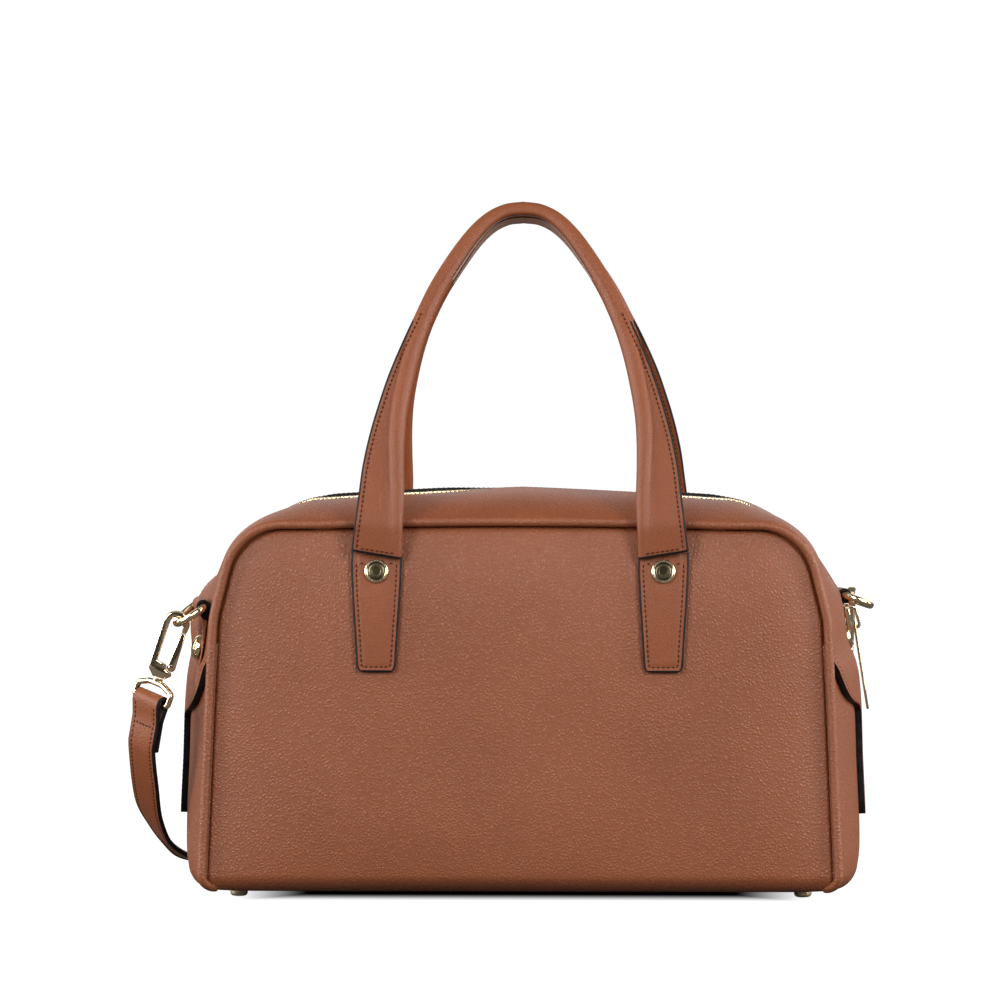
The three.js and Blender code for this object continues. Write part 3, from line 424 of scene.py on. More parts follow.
def gusset_frame(s, y):
    """Origin, outward, upward and sideways directions of the gusset."""
    upward = 1 if s < 0 else -1
    up = (gusset(s + upward, y) - gusset(s - upward, y)).normalized()
    side = (gusset(s, y + 1) - gusset(s, y - 1)).normalized()
    out = up.cross(side).normalized()
    if out.x * s < 0:
        out.negate()
    return gusset(s, y), out, up, out.cross(up).normalized()


# The panels reach into the seam, under the bead of the piping
PANEL_INSET = PIPE_R - 0.5
PANEL_TOP = CORNER_Z + CORNER_R - PANEL_INSET
CREASE_DIP = 1.5
CREASE_REACH = 1.9
ROLL_DIP = 1.5
ROLL_REACH = 11.0
PANEL_SAG = 1.8
PANEL_WAVE = 0.7
WAVE_LENGTH = 55.0
WAVE_APART = 3.7
ROLL_LIFT = 0.4


def panel_row(t):
    """Height, tuck and half width of a panel's row.

    From 0 to 1 it rolls under, from 1 to 2 it is straight, and from 2 to 3 it is the shoulder.
    """
    if t < 1:
        turn = 90 * (1 - t) * RAD
        half = ROLL_X + ROLL_R * math.cos(turn) - PANEL_INSET
        return BOTTOM_Z + ROLL_R * (1 - math.sin(turn)), ROLL_R * (1 - math.cos(turn)), half
    if t < 2:
        z = lerp(BOTTOM_Z + ROLL_R, SIDE_TOP_Z, t - 1)
        return z, 0.0, side_x(z) - PANEL_INSET
    angle = lerp(LEAN, math.pi / 2, t - 2)
    reach = CORNER_R - PANEL_INSET
    return CORNER_Z + reach * math.sin(angle), 0.0, CORNER_X + reach * math.cos(angle)


def panel_half(z):
    if z < SIDE_TOP_Z:
        return side_x(z) - PANEL_INSET
    reach = CORNER_R - PANEL_INSET
    return CORNER_X + math.sqrt(max(0.0, reach**2 - (z - CORNER_Z) ** 2))


def puff(u, z):
    reach = PANEL_TOP - PANEL_MIDDLE if z > PANEL_MIDDLE else PUFF_REACH_DOWN
    v = min(1.0, abs(z - PANEL_MIDDLE) / reach)
    return PANEL_PUFF * (1 - abs(u) ** PUFF_POWER_ACROSS) * (1 - v**PUFF_POWER_UP)


def to_panel_edge(x, z):
    """Distance of a point on a panel from the panel's sides, shoulders and top."""
    reach = CORNER_R - PANEL_INSET
    beyond = abs(x) - CORNER_X
    if beyond > 0 and z > CORNER_Z:
        return max(0.0, reach - math.hypot(beyond, z - CORNER_Z))
    return max(0.0, min(panel_half(z) - abs(x), PANEL_TOP - z))


def edge_dip(x, z):
    near = to_panel_edge(x, z)
    crease = CREASE_DIP * math.exp(-((near / CREASE_REACH) ** 2))
    return crease + ROLL_DIP * math.exp(-((near / ROLL_REACH) ** 2))


def panel_face(side, x, z):
    """Depth of a panel's face, away from its shoulders."""
    if side < 0 and z > CORNER_Z:
        z = CORNER_Z + (z - CORNER_Z) / (1 + FRONT_RISE / CORNER_R)
    return half_depth(z) + puff(x / panel_half(z), z)


def panel_point(side, t, u):
    z, tuck, half = panel_row(t)
    lift = TOP_ARCH * (1 - u * u) * smoothstep(z, PANEL_MIDDLE, PANEL_TOP)
    turn = math.acos(1 - tuck / ROLL_R)
    dip = edge_dip(u * half, z) if t > 1 else edge_dip(u * half, panel_row(1)[0])
    wave = PANEL_WAVE * noise.noise(Vector((u * half / WAVE_LENGTH, z / WAVE_LENGTH, side * WAVE_APART)))
    calm = 1 - min(1.0, dip / ROLL_DIP)
    depth = half_depth(z) - tuck + (puff(u, z) - dip + wave * calm) * math.cos(turn)
    lift -= PANEL_SAG * (1 - math.cos(turn))
    x, z = squared(u * half, z + lift + ROLL_LIFT * dip * math.sin(turn), 1 if side < 0 else 0)
    return Vector((x, side * depth, z))


def groove(name, to_edge):
    """Depth of a piece's sewn groove at a distance from the piece's edge."""
    row = GROOVES[name]
    return row["depth"] * math.exp(-(((to_edge - STITCH_INSET) / row["spread"]) ** 2))


# Modelling helpers


def deselect():
    if bpy.context.object and bpy.context.object.mode != "OBJECT":
        bpy.ops.object.mode_set(mode="OBJECT")
    bpy.ops.object.select_all(action="DESELECT")


def named(name):
    piece = bpy.context.object
    piece.name = name
    piece.data.name = name
    return piece


def activate(piece):
    deselect()
    piece.select_set(True)
    bpy.context.view_layer.objects.active = piece


def apply_modifier(piece, kind, **settings):
    activate(piece)
    modifier = piece.modifiers.new(kind.lower(), kind)
    for key, value in settings.items():
        setattr(modifier, key, value)
    bpy.ops.object.modifier_apply(modifier=modifier.name)


def smooth(piece, angle=40):
    activate(piece)
    bpy.ops.object.shade_smooth_by_angle(angle=angle * RAD)


def edit_whole(piece):
    """Opens a piece in edit mode with everything selected."""
    activate(piece)
    bpy.ops.object.mode_set(mode="EDIT")
    bpy.ops.mesh.select_all(action="SELECT")


def flip(piece):
    edit_whole(piece)
    bpy.ops.mesh.flip_normals()
    bpy.ops.object.mode_set(mode="OBJECT")


def recalculate(piece):
    """Closes doubled seams and turns the faces of a closed piece outwards."""
    edit_whole(piece)
    bpy.ops.mesh.remove_doubles(threshold=0.000002)
    bpy.ops.mesh.normals_make_consistent(inside=False)
    bpy.ops.object.mode_set(mode="OBJECT")


def paint(piece, *materials):
    piece.data.materials.clear()
    for material in materials:
        piece.data.materials.append(material)


def hand_over(piece, body, slot, *nodes):
    """The finished piece rides on its body and stands for its nodes."""
    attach(piece, body)
    if nodes:
        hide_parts(*nodes)
    return piece


def join(name, pieces):
    activate(pieces[0])
    for piece in pieces[1:]:
        piece.select_set(True)
    bpy.ops.object.join()
    return named(name)


def delete_faces(piece, chosen):
    """Removes the faces whose middle the test picks."""
    for part in (piece.data.vertices, piece.data.edges):
        part.foreach_set("select", [False] * len(part))
    for face in piece.data.polygons:
        face.select = chosen(face.center)
    activate(piece)
    bpy.context.tool_settings.mesh_select_mode = (False, False, True)
    bpy.ops.object.mode_set(mode="EDIT")
    bpy.ops.mesh.delete(type="FACE")
    bpy.ops.object.mode_set(mode="OBJECT")


def sheet(name, lines, columns, point, heart, cut=None):
    """Grid whose rows stand at the values in lines, laid on the surface that point(line, column) gives."""
    deselect()
    rows = len(lines) - 1
    bpy.ops.mesh.primitive_grid_add(x_subdivisions=columns, y_subdivisions=rows, size=1)
    piece = named(name)

    def cell(co):
        return (co.y + 0.5) * rows, (co.x + 0.5) * columns

    if cut:
        delete_faces(piece, lambda middle: cut(*[math.floor(c) for c in cell(middle)]))
    for vertex in piece.data.vertices:
        i, j = [round(c) for c in cell(vertex.co)]
        vertex.co = place(point(lines[i], j))
    piece.data.update()
    facing = sum(face.normal.dot(face.center - place(heart)) * face.area for face in piece.data.polygons)
    if facing < 0:
        flip(piece)
    return piece


def bordered(half, count):
    """Places from -half to half, close together at both borders."""
    left = [-half + step for step in BORDER]
    middle = steps(-half + BORDER[-1], half - BORDER[-1], count)[1:-1]
    return left + middle + [-x for x in reversed(left)]


def border_drop(to_edge):
    """Fall of a rounded border at a distance from its edge."""
    over = max(0.0, 1 - to_edge / EDGE_ROUND)
    return EDGE_ROUND * (1 - math.sqrt(1 - over * over))


def round_edges(piece, width, material):
    apply_modifier(
        piece,
        "BEVEL",
        width=width * MM,
        segments=3,
        limit_method="ANGLE",
        angle_limit=EDGE_ANGLE * RAD,
        material=material,
    )


def thicken(piece, thick, materials, rounding=0.0, even=True, border=None):
    """Gives a sheet its wall inwards. A second material paints the cut edge, a third lines the inside."""
    paint(piece, *materials)
    painted = len(materials) > 1
    if border:
        for face in piece.data.polygons:
            face.material_index = int(border((face.center - MIDDLE) / MM))
    apply_modifier(
        piece,
        "SOLIDIFY",
        thickness=thick * MM,
        offset=-1,
        use_even_offset=even,
        material_offset_rim=1 if painted else 0,
        material_offset=2 if len(materials) > 2 else 0,
    )
    if rounding:
        round_edges(piece, rounding, 1 if painted else -1)
    smooth(piece)


def tube(name, path, radius, closed=False, sides=4):
    """Round rod along a line of points."""
    deselect()
    bpy.ops.curve.primitive_bezier_curve_add()
    piece = named(name)
    data = piece.data
    data.dimensions = "3D"
    data.splines.clear()
    spline = data.splines.new("POLY")
    spline.points.add(len(path) - 1)
    for knot, point in zip(spline.points, path):
        knot.co = (*place(point), 1)
    spline.use_cyclic_u = closed
    data.twist_mode = "MINIMUM"
    data.bevel_depth = radius * MM
    data.bevel_resolution = sides
    data.use_fill_caps = not closed
    piece.matrix_world = Matrix.Identity(4)
    bpy.ops.object.convert(target="MESH")
    piece = named(name)
    recalculate(piece)
    smooth(piece, 50)
    return piece


def basis(origin, x, y):
    """Matrix that lays a piece modelled flat, in metres, at a place of the bag."""
    z = x.cross(y)
    matrix = Matrix((x, y, z)).transposed().to_4x4()
    matrix.translation = place(origin)
    return matrix


def lay(piece, matrix):
    activate(piece)
    piece.matrix_world = matrix
    bpy.ops.object.transform_apply(location=True, rotation=True, scale=True)
    return piece


def plate(name, outlines, thick, bevel, matrix):
    """Flat outline with holes, pushed to a thickness with rounded edges."""
    deselect()
    bpy.ops.curve.primitive_bezier_circle_add()
    piece = named(name)
    data = piece.data
    data.dimensions = "2D"
    data.splines.clear()
    for outline in outlines:
        spline = data.splines.new("POLY")
        spline.points.add(len(outline) - 1)
        for knot, (x, y) in zip(spline.points, outline):
            knot.co = (x * MM, y * MM, 0, 1)
        spline.use_cyclic_u = True
    data.fill_mode = "BOTH"
    data.extrude = (thick / 2 - bevel) * MM
    data.bevel_depth = bevel * MM
    data.bevel_resolution = 2
    data.offset = -bevel * MM
    bpy.ops.object.convert(target="MESH")
    piece = named(name)
    recalculate(piece)
    smooth(piece, 35)
    return lay(piece, matrix)


def turned(name, profile, origin, axis, sides=40):
    """Round piece built up ring by ring from a profile of radius and height."""
    deselect()
    radius, height = profile[0]
    bpy.ops.mesh.primitive_circle_add(vertices=sides, radius=radius * MM, location=(0, 0, height * MM))
    piece = named(name)
    bpy.ops.object.transform_apply(location=True)
    edit_whole(piece)
    bpy.ops.mesh.edge_face_add()
    bpy.ops.mesh.select_all(action="SELECT")
    for next_radius, next_height in profile[1:]:
        rise = (0, 0, (next_height - height) * MM)
        bpy.ops.mesh.extrude_region_move(TRANSFORM_OT_translate={"value": rise})
        share = next_radius / radius
        bpy.ops.transform.resize(value=(share, share, 1), center_override=(0, 0, next_height * MM))
        radius, height = next_radius, next_height
    bpy.ops.object.mode_set(mode="OBJECT")
    recalculate(piece)
    smooth(piece, 32)
    turn = Vector((0, 0, 1)).rotation_difference(axis).to_matrix().to_4x4()
    turn.translation = place(origin)
    return lay(piece, turn)


def oval(cx, cy, wide, high, start, end, count):
    return [
        (cx + wide * math.cos(a * RAD), cy + high * math.sin(a * RAD))
        for a in steps(start, end, count)
    ]


def arc(cx, cy, radius, start, end, count):
    return oval(cx, cy, radius, radius, start, end, count)


# Node groups and materials


def group_node(tree, group, where, **values):
    node = tree.nodes.new("ShaderNodeGroup")
    node.node_tree = group
    tree.links.new(where, node.inputs["Vector"])
    for key, value in values.items():
        node.inputs[key].default_value = value
    return node


def math_node(tree, operation, a, b):
    node = tree.nodes.new("ShaderNodeMath")
    node.operation = operation
    for socket, value in zip(node.inputs, (a, b)):
        if isinstance(value, (int, float)):
            socket.default_value = value
        else:
            tree.links.new(value, socket)
    return node.outputs[0]


def range_node(tree, value, low, high, to_low, to_high):
    node = tree.nodes.new("ShaderNodeMapRange")
    node.interpolation_type = "SMOOTHSTEP"
    for key, number in zip(("From Min", "From Max", "To Min", "To Max"), (low, high, to_low, to_high)):
        node.inputs[key].default_value = number
    tree.links.new(value, node.inputs["Value"])
    return node.outputs["Result"]


def mix_colours(tree, share, a, b):
    node = tree.nodes.new("ShaderNodeMix")
    node.data_type = "RGBA"
    tree.links.new(share, node.inputs["Factor"])
    colours = [s for s in node.inputs if s.type == "RGBA"]
    for colour, value in zip(colours, (a, b)):
        if isinstance(value, tuple):
            colour.default_value = value
        else:
            tree.links.new(value, colour)
    return [s for s in node.outputs if s.type == "RGBA"][0]


def noise_node(tree, vector, scale, detail=2.0):
    node = tree.nodes.new("ShaderNodeTexNoise")
    node.inputs["Scale"].default_value = scale
    node.inputs["Detail"].default_value = detail
    tree.links.new(vector, node.inputs["Vector"])
    return node


def make_group(name, inputs, outputs):
    group = bpy.data.node_groups.new(name, "ShaderNodeTree")
    for socket, kind in inputs:
        group.interface.new_socket(socket, in_out="INPUT", socket_type=kind)
    for socket, kind in outputs:
        group.interface.new_socket(socket, in_out="OUTPUT", socket_type=kind)
    return group, group.nodes.new("NodeGroupInput"), group.nodes.new("NodeGroupOutput")


def pebble_grain_group():
    """Small rounded cells with creases between them, as on milled leather."""
    group, given, result = make_group(
        "Pebble grain",
        [("Vector", "NodeSocketVector"), ("Cells per metre", "NodeSocketFloat")],
        [("Height", "NodeSocketFloat"), ("Crease", "NodeSocketFloat")],
    )
    bend = noise_node(group, given.outputs["Vector"], 160.0)
    shift = group.nodes.new("ShaderNodeVectorMath")
    shift.operation = "MULTIPLY_ADD"
    group.links.new(bend.outputs["Color"], shift.inputs[0])
    shift.inputs[1].default_value = (0.0018, 0.0018, 0.0018)
    group.links.new(given.outputs["Vector"], shift.inputs[2])
    cells = group.nodes.new("ShaderNodeTexVoronoi")
    cells.feature = "DISTANCE_TO_EDGE"
    group.links.new(shift.outputs[0], cells.inputs["Vector"])
    group.links.new(given.outputs["Cells per metre"], cells.inputs["Scale"])
    dome = range_node(group, cells.outputs["Distance"], 0.0, 0.42, 0.0, 1.0)
    fine = noise_node(group, given.outputs["Vector"], 2600.0)
    height = math_node(group, "MULTIPLY_ADD", dome, 0.85)
    group.links.new(math_node(group, "MULTIPLY", fine.outputs[0], 0.07), height.node.inputs[2])
    group.links.new(height, result.inputs["Height"])
    group.links.new(math_node(group, "SUBTRACT", 1.0, dome), result.inputs["Crease"])
    return group


def uneven_dye_group():
    """Slow change between two shades of a dye."""
    group, given, result = make_group(
        "Uneven dye",
        [("Vector", "NodeSocketVector"), ("Scale", "NodeSocketFloat")],
        [("Shade", "NodeSocketFloat")],
    )
    cloud = noise_node(group, given.outputs["Vector"], 1.0, 4.0)
    group.links.new(given.outputs["Scale"], cloud.inputs["Scale"])
    group.links.new(range_node(group, cloud.outputs[0], 0.3, 0.7, 0.0, 1.0), result.inputs["Shade"])
    return group


def material_base(name):
    material = bpy.data.materials.new(name)
    material.use_nodes = True
    tree = material.node_tree
    shader = tree.nodes["Principled BSDF"]
    coords = tree.nodes.new("ShaderNodeTexCoord")
    return material, tree, shader, coords.outputs["Object"]


def add_bump(tree, shader, height, distance, strength=1.0):
    bump = tree.nodes.new("ShaderNodeBump")
    bump.inputs["Distance"].default_value = distance
    bump.inputs["Strength"].default_value = strength
    tree.links.new(height, bump.inputs["Height"])
    tree.links.new(bump.outputs["Normal"], shader.inputs["Normal"])


PEBBLES = pebble_grain_group()
DYE = uneven_dye_group()


def leather(name, deep, pale, crease, cells=600.0, depth=0.00019, rough=(0.42, 0.54), shine=0.58):
    material, tree, shader, where = material_base(name)
    grain = group_node(tree, PEBBLES, where, **{"Cells per metre": cells})
    dye = group_node(tree, DYE, where, Scale=16.0)
    shade = mix_colours(tree, dye.outputs["Shade"], deep, pale)
    hollow = range_node(tree, grain.outputs["Crease"], 0.5, 1.0, 0.0, 0.28)
    tree.links.new(mix_colours(tree, hollow, shade, crease), shader.inputs["Base Color"])
    tree.links.new(range_node(tree, grain.outputs["Crease"], 0.0, 1.0, *rough), shader.inputs["Roughness"])
    shader.inputs["Specular IOR Level"].default_value = shine
    add_bump(tree, shader, grain.outputs["Height"], depth)
    return material


def edge_paint():
    material, tree, shader, where = material_base("edge_paint")
    dye = group_node(tree, DYE, where, Scale=260.0)
    colour = mix_colours(tree, dye.outputs["Shade"], (0.006, 0.006, 0.007, 1), (0.014, 0.013, 0.014, 1))
    tree.links.new(colour, shader.inputs["Base Color"])
    tree.links.new(range_node(tree, dye.outputs["Shade"], 0, 1, 0.45, 0.6), shader.inputs["Roughness"])
    shader.inputs["Specular IOR Level"].default_value = 0.15
    add_bump(tree, shader, dye.outputs["Shade"], 0.00008)
    return material


def metal(name, dull, bright, rough):
    material, tree, shader, where = material_base(name)
    shader.inputs["Metallic"].default_value = 1.0
    dye = group_node(tree, DYE, where, Scale=90.0)
    tree.links.new(mix_colours(tree, dye.outputs["Shade"], dull, bright), shader.inputs["Base Color"])
    scratch = noise_node(tree, where, 1800.0, 3.0)
    tree.links.new(range_node(tree, scratch.outputs[0], 0.3, 0.7, *rough), shader.inputs["Roughness"])
    return material


def thread():
    material, tree, shader, where = material_base("thread")
    fibres = noise_node(tree, where, 5200.0, 2.0)
    colour = mix_colours(tree, fibres.outputs[0], (0.045, 0.012, 0.006, 1), (0.1, 0.028, 0.012, 1))
    tree.links.new(colour, shader.inputs["Base Color"])
    shader.inputs["Roughness"].default_value = 0.8
    shader.inputs["Specular IOR Level"].default_value = 0.1
    add_bump(tree, shader, fibres.outputs[0], 0.0001)
    return material


def zip_cloth():
    """Woven tape: two sets of threads on the piece's own lengths."""
    material, tree, shader, _ = material_base("zip_cloth")
    lengths = tree.nodes.new("ShaderNodeUVMap")
    waves = []
    for direction in ("X", "Y"):
        wave = tree.nodes.new("ShaderNodeTexWave")
        wave.bands_direction = direction
        wave.inputs["Scale"].default_value = 330.0
        tree.links.new(lengths.outputs["UV"], wave.inputs["Vector"])
        waves.append(wave.outputs["Fac"])
    weave = math_node(tree, "MULTIPLY", waves[0], waves[1])
    colour = mix_colours(tree, weave, (0.004, 0.005, 0.01, 1), (0.017, 0.02, 0.037, 1))
    tree.links.new(colour, shader.inputs["Base Color"])
    shader.inputs["Roughness"].default_value = 0.85
    add_bump(tree, shader, weave, 0.00012)
    return material


TAN = leather("tan_leather", (0.226, 0.0595, 0.0168, 1), (0.258, 0.0712, 0.0218, 1), (0.12, 0.028, 0.008, 1))
# Leather of the handles, tabs and strap, a little darker than the body's: partly the handles' own deeper
# tone, partly painted shade for the handle crowns, which get little light from above
TAN_HANDLE = leather(
    "handle_leather",
    (0.215, 0.056, 0.0158, 1),
    (0.248, 0.0675, 0.02, 1),
    (0.12, 0.028, 0.008, 1),
    cells=760.0,
    depth=0.0001,
    rough=(0.42, 0.52),
    shine=0.42,
)
BACKING = leather(
    "strap_backing",
    (0.2, 0.13, 0.105, 1),
    (0.24, 0.16, 0.13, 1),
    (0.13, 0.08, 0.06, 1),
    depth=0.0001,
)
HANDLE_LINING = leather(
    "handle_lining",
    (0.33, 0.2, 0.15, 1),
    (0.4, 0.26, 0.2, 1),
    (0.22, 0.13, 0.1, 1),
    depth=0.0001,
)
EDGE = edge_paint()
GOLD = metal("pale_gold", (0.86, 0.66, 0.4, 1), (0.93, 0.78, 0.55, 1), (0.05, 0.15))
BRUSHED = metal("brushed_gold", (0.78, 0.6, 0.37, 1), (0.88, 0.73, 0.5, 1), (0.2, 0.34))
SATIN = metal("satin_gold", (0.84, 0.66, 0.42, 1), (0.92, 0.77, 0.54, 1), (0.5, 0.62))
BRASS = metal("aged_brass", (0.1, 0.08, 0.05, 1), (0.18, 0.145, 0.09, 1), (0.26, 0.4))
BRONZE = metal("dark_bronze", (0.05, 0.042, 0.02, 1), (0.1, 0.085, 0.04, 1), (0.3, 0.45))
THREAD = thread()
TAPE = zip_cloth()

HEART = (0, 0, 90)


# Stitches


def stitch_pattern():
    """One stitch: a short bead lying along X, with its crown along Z."""
    deselect()
    bpy.ops.mesh.primitive_uv_sphere_add(segments=6, ring_count=5, radius=0.5 * MM)
    pattern = named("stitch_pattern")
    edit_whole(pattern)
    bpy.ops.transform.rotate(value=90 * RAD, orient_axis="Y", center_override=(0, 0, 0))
    bpy.ops.transform.resize(
        value=(STITCH_LENGTH, STITCH_WIDTH, STITCH_WIDTH * 0.8), center_override=(0, 0, 0)
    )
    bpy.ops.object.mode_set(mode="OBJECT")
    return pattern


def spaced(points, normals, pitch):
    """Frames at even spaces along a line of points: place, direction and normal."""
    gaps = [(b - a).length for a, b in zip(points, points[1:])]
    ends = np.concatenate([[0.0], np.cumsum(gaps)])
    count = max(1, round(ends[-1] / pitch))
    frames = []
    for middle in (np.arange(count) + 0.5) * ends[-1] / count:
        k = min(int(np.searchsorted(ends, middle, side="right")) - 1, len(gaps) - 1)
        share = (middle - ends[k]) / max(gaps[k], 1e-9)
        along = (points[k + 1] - points[k]).normalized()
        up = normals[k].lerp(normals[k + 1], share)
        up = (up - along * up.dot(along)).normalized()
        frames.append((points[k].lerp(points[k + 1], share) + up * STITCH_LIFT, along, up))
    return frames


def repeat(name, pattern, frames, material):
    """One mesh with a copy of the pattern in every frame."""
    shape = np.array([v.co for v in pattern.data.vertices])
    corners = [list(face.vertices) for face in pattern.data.polygons]
    points = []
    faces = []
    for origin, along, up in frames:
        axes = np.array([along, up.cross(along), up])
        first = len(points) * len(shape)
        faces.extend([first + c for c in face] for face in corners)
        points.append(shape @ axes + np.array(place(origin)))
    mesh = bpy.data.meshes.new(name)
    mesh.from_pydata(np.concatenate(points).tolist(), [], faces)
    piece = bpy.data.objects.new(name, mesh)
    bpy.context.scene.collection.objects.link(piece)
    paint(piece, material)
    smooth(piece, 60)
    return piece


# Pieces of the body


def make_panels():
    rolls = steps(0, 1, 10)
    straights = steps(1, 2, 52)[1:]
    shoulders = steps(2, 3, 44)[1:]
    columns = 120
    for name, side in SIDES.items():

        def point(t, j, side=side):
            return panel_point(side, t, math.sin((j / columns - 0.5) * math.pi))

        piece = sheet(f"leather_{name}_panel", rolls + straights + shoulders, columns, point, HEART)
        thicken(piece, LEATHER, [TAN], even=False)
        hand_over(piece, "bag", "leather", f"{name}_panel")


def seam_dip(to_seam):
    """Depth of the crease where a gusset meets the piping."""
    return SEAM_DIP["depth"] * math.exp(-((to_seam / SEAM_DIP["spread"]) ** 2))


def make_side_walls():
    columns = 64
    lines = steps(along_at(UNDER_FLAP_Z), SIDE_END, 60) + steps(SIDE_END, SEAM_END, 12)[1:]
    for name, side in (("left", -1), ("right", 1)):

        def point(line, j, side=side):
            share = 2 * j / columns - 1
            s = side * line
            half = seam(s)[4]
            y = share * (half - SIDE_TUCK)
            back = lerp(SIDE_BACK, SIDE_BACK_SEAM, abs(share) ** SIDE_BACK_POWER)
            return gusset(s, y, -back - SIDE_DIP_SHARE * seam_dip(half - abs(y)))

        piece = sheet(f"leather_side_{name}", lines, columns, point, HEART)
        thicken(piece, LEATHER, [TAN])
        hand_over(piece, "bag", "leather", f"side_gusset_{name}")


def make_bottom():
    columns = 40
    half_x = ROLL_X + BOTTOM_TUCK_X
    half_y = seam(SEAM_END)[4] + BOTTOM_TUCK_Y

    def point(v, j):
        u = 2 * j / columns - 1
        sag = BOTTOM_SAG * (1 - u * u) * (1 - v * v)
        return Vector((u * half_x, v * half_y, BOTTOM_Z + BOTTOM_SEAT - sag))

    piece = sheet("leather_bottom", steps(-1, 1, 24), columns, point, HEART)
    thicken(piece, LEATHER, [TAN])
    hand_over(piece, "bag", "leather", "bottom_panel")


FLAP_TOP = along_at(FLAP["z"][-1])
FLAP_END = along_at(FLAP["z"][0])
ZIP_END = along_at(ZIP_END_Z)


def flap_half(z, side):
    """Half width of a flap. The right one curves in a little higher than the left one."""
    raised = FLAP_RAISE["lift"] * stretch(z, FLAP_RAISE)
    return flowing(FLAP["z"], FLAP["half"], z - raised if side > 0 else z)


def hang(z):
    """How far a height lies inside the free part of a flap, from 0 to 1."""
    return smoothstep(FLAP["z"][-1] - z, 0, FLAP_FREE)


def flap_lift(z, y):
    row = FLAP_CURL
    below = smoothstep(FLAP["z"][-1] - z, row["start"], row["full"])
    return FLAP_STAND * hang(z) + row["lift"] * below * smoothstep(abs(y), row["inner"], row["outer"])


def zip_sink(s):
    """The zip lies deeper where it rounds a shoulder."""
    return ZIP_SINK["depth"] * stretch(abs(s), ZIP_SINK)


def zip_edge(s, y):
    """Beside the zip the rear edge is the higher one near both ends of the top, the front one elsewhere."""
    near = math.exp(-(((abs(y) - SLOT_HALF) / ZIP_EDGE_REACH) ** 2))
    near *= 1 - smoothstep(abs(s), ZIP_END - ZIP_EDGE_FADE, ZIP_END)
    hide = SHOULDER_HIDE["rise"] * smoothstep(abs(s), SHOULDER_HIDE["start"], SHOULDER_HIDE["full"])
    crest = stretch(s, ZIP_HIDDEN)
    if y > 0:
        on_top = 1 - smoothstep(abs(s), ZIP_EDGE_BACK["fade"], ZIP_EDGE_BACK["end"])
        return near * (ZIP_EDGE_BACK["rise"] * (1 - crest) * on_top - hide - zip_sink(s))
    return near * (hide + lerp(-ZIP_EDGE_FRONT, ZIP_HIDDEN["rise"], crest) - zip_sink(s))


def make_top_gusset():
    wing = 26
    slot = 4
    columns = 2 * wing + slot
    half_lines = steps(0, CORNER_X, 30) + steps(CORNER_X, SIDE_START, 34)[1:] + [ZIP_END]
    half_lines += steps(ZIP_END, FLAP_TOP, 6)[1:] + steps(FLAP_TOP, FLAP_END, 78)[1:]
    lines = [-s for s in reversed(half_lines)] + half_lines[1:]

    def across(j, reach):
        if j <= wing:
            return lerp(-reach, -SLOT_HALF, j / wing)
        if j < wing + slot:
            return lerp(-SLOT_HALF, SLOT_HALF, (j - wing) / slot)
        return lerp(reach, SLOT_HALF, (columns - j) / wing)

    def point(s, j):
        _, z, _, _, half = seam(s)
        if abs(s) > FLAP_TOP:
            y = across(j, flap_half(z, s))
            return gusset(s, y, flap_lift(z, y))
        past_zip = smoothstep(abs(s), ZIP_END, FLAP_TOP)
        y = across(j, lerp(half - GUSSET_INSET, FLAP["half"][-1], past_zip))
        return gusset(s, y, zip_edge(s, y) - seam_dip(half - abs(y)) * (1 - past_zip))

    def in_slot(i, j):
        inner = max(abs(lines[i]), abs(lines[i + 1])) < ZIP_END + 0.01
        return inner and wing <= j < wing + slot

    piece = sheet("leather_top_gusset", lines, columns, point, HEART, cut=in_slot)
    paint(piece, TAN, EDGE)
    walls = piece.vertex_groups.new(name="wall")
    for vertex in piece.data.vertices:
        wall = lerp(LEATHER, FLAP_LEATHER, hang(vertex.co.z / MM))
        walls.add([vertex.index], wall / FLAP_LEATHER, "REPLACE")
    apply_modifier(
        piece,
        "SOLIDIFY",
        thickness=FLAP_LEATHER * MM,
        offset=-1,
        use_even_offset=True,
        vertex_group="wall",
        material_offset_rim=1,
    )
    round_edges(piece, EDGE_ROUND, 1)
    smooth(piece)
    hand_over(piece, "bag", "leather", "top_gusset")


def make_piping():
    half = steps(0, CORNER_X, 24) + steps(CORNER_X, SIDE_START, 40)[1:]
    half += steps(SIDE_START, SIDE_END, 24)[1:] + steps(SIDE_END, SEAM_END, 10)[1:]
    lines = [-s for s in reversed(half)] + half[1:]
    for name, side in SIDES.items():
        path = []
        for s in lines:
            x, z, _, _, depth = seam(s)
            x, z = squared(x, z, 1 if side < 0 else 0)
            path.append((x, side * depth, z))
        piece = tube(f"leather_piping_{name}", path, PIPE_R, sides=4)
        paint(piece, TAN)
        hand_over(piece, "bag", "leather", f"piping_{name}")


# Zip


def make_zip_tape():
    lines = steps(-ZIP_END + 0.4, ZIP_END - 0.4, 150)
    columns = 6

    def tape_point(s, j):
        return gusset(s, lerp(-SLOT_HALF, SLOT_HALF, j / columns), -TAPE_SINK - zip_sink(s))

    tape = sheet("zip_cloth_tape", lines, columns, tape_point, HEART)
    lengths = tape.data.uv_layers.active.data
    for corner in lengths:
        corner.uv = (corner.uv[0] * 2 * SLOT_HALF * MM, corner.uv[1] * 2 * ZIP_END * MM)
    thicken(tape, TAPE_THICK, [TAPE])
    hand_over(tape, "bag", "tape", "zip_tape")


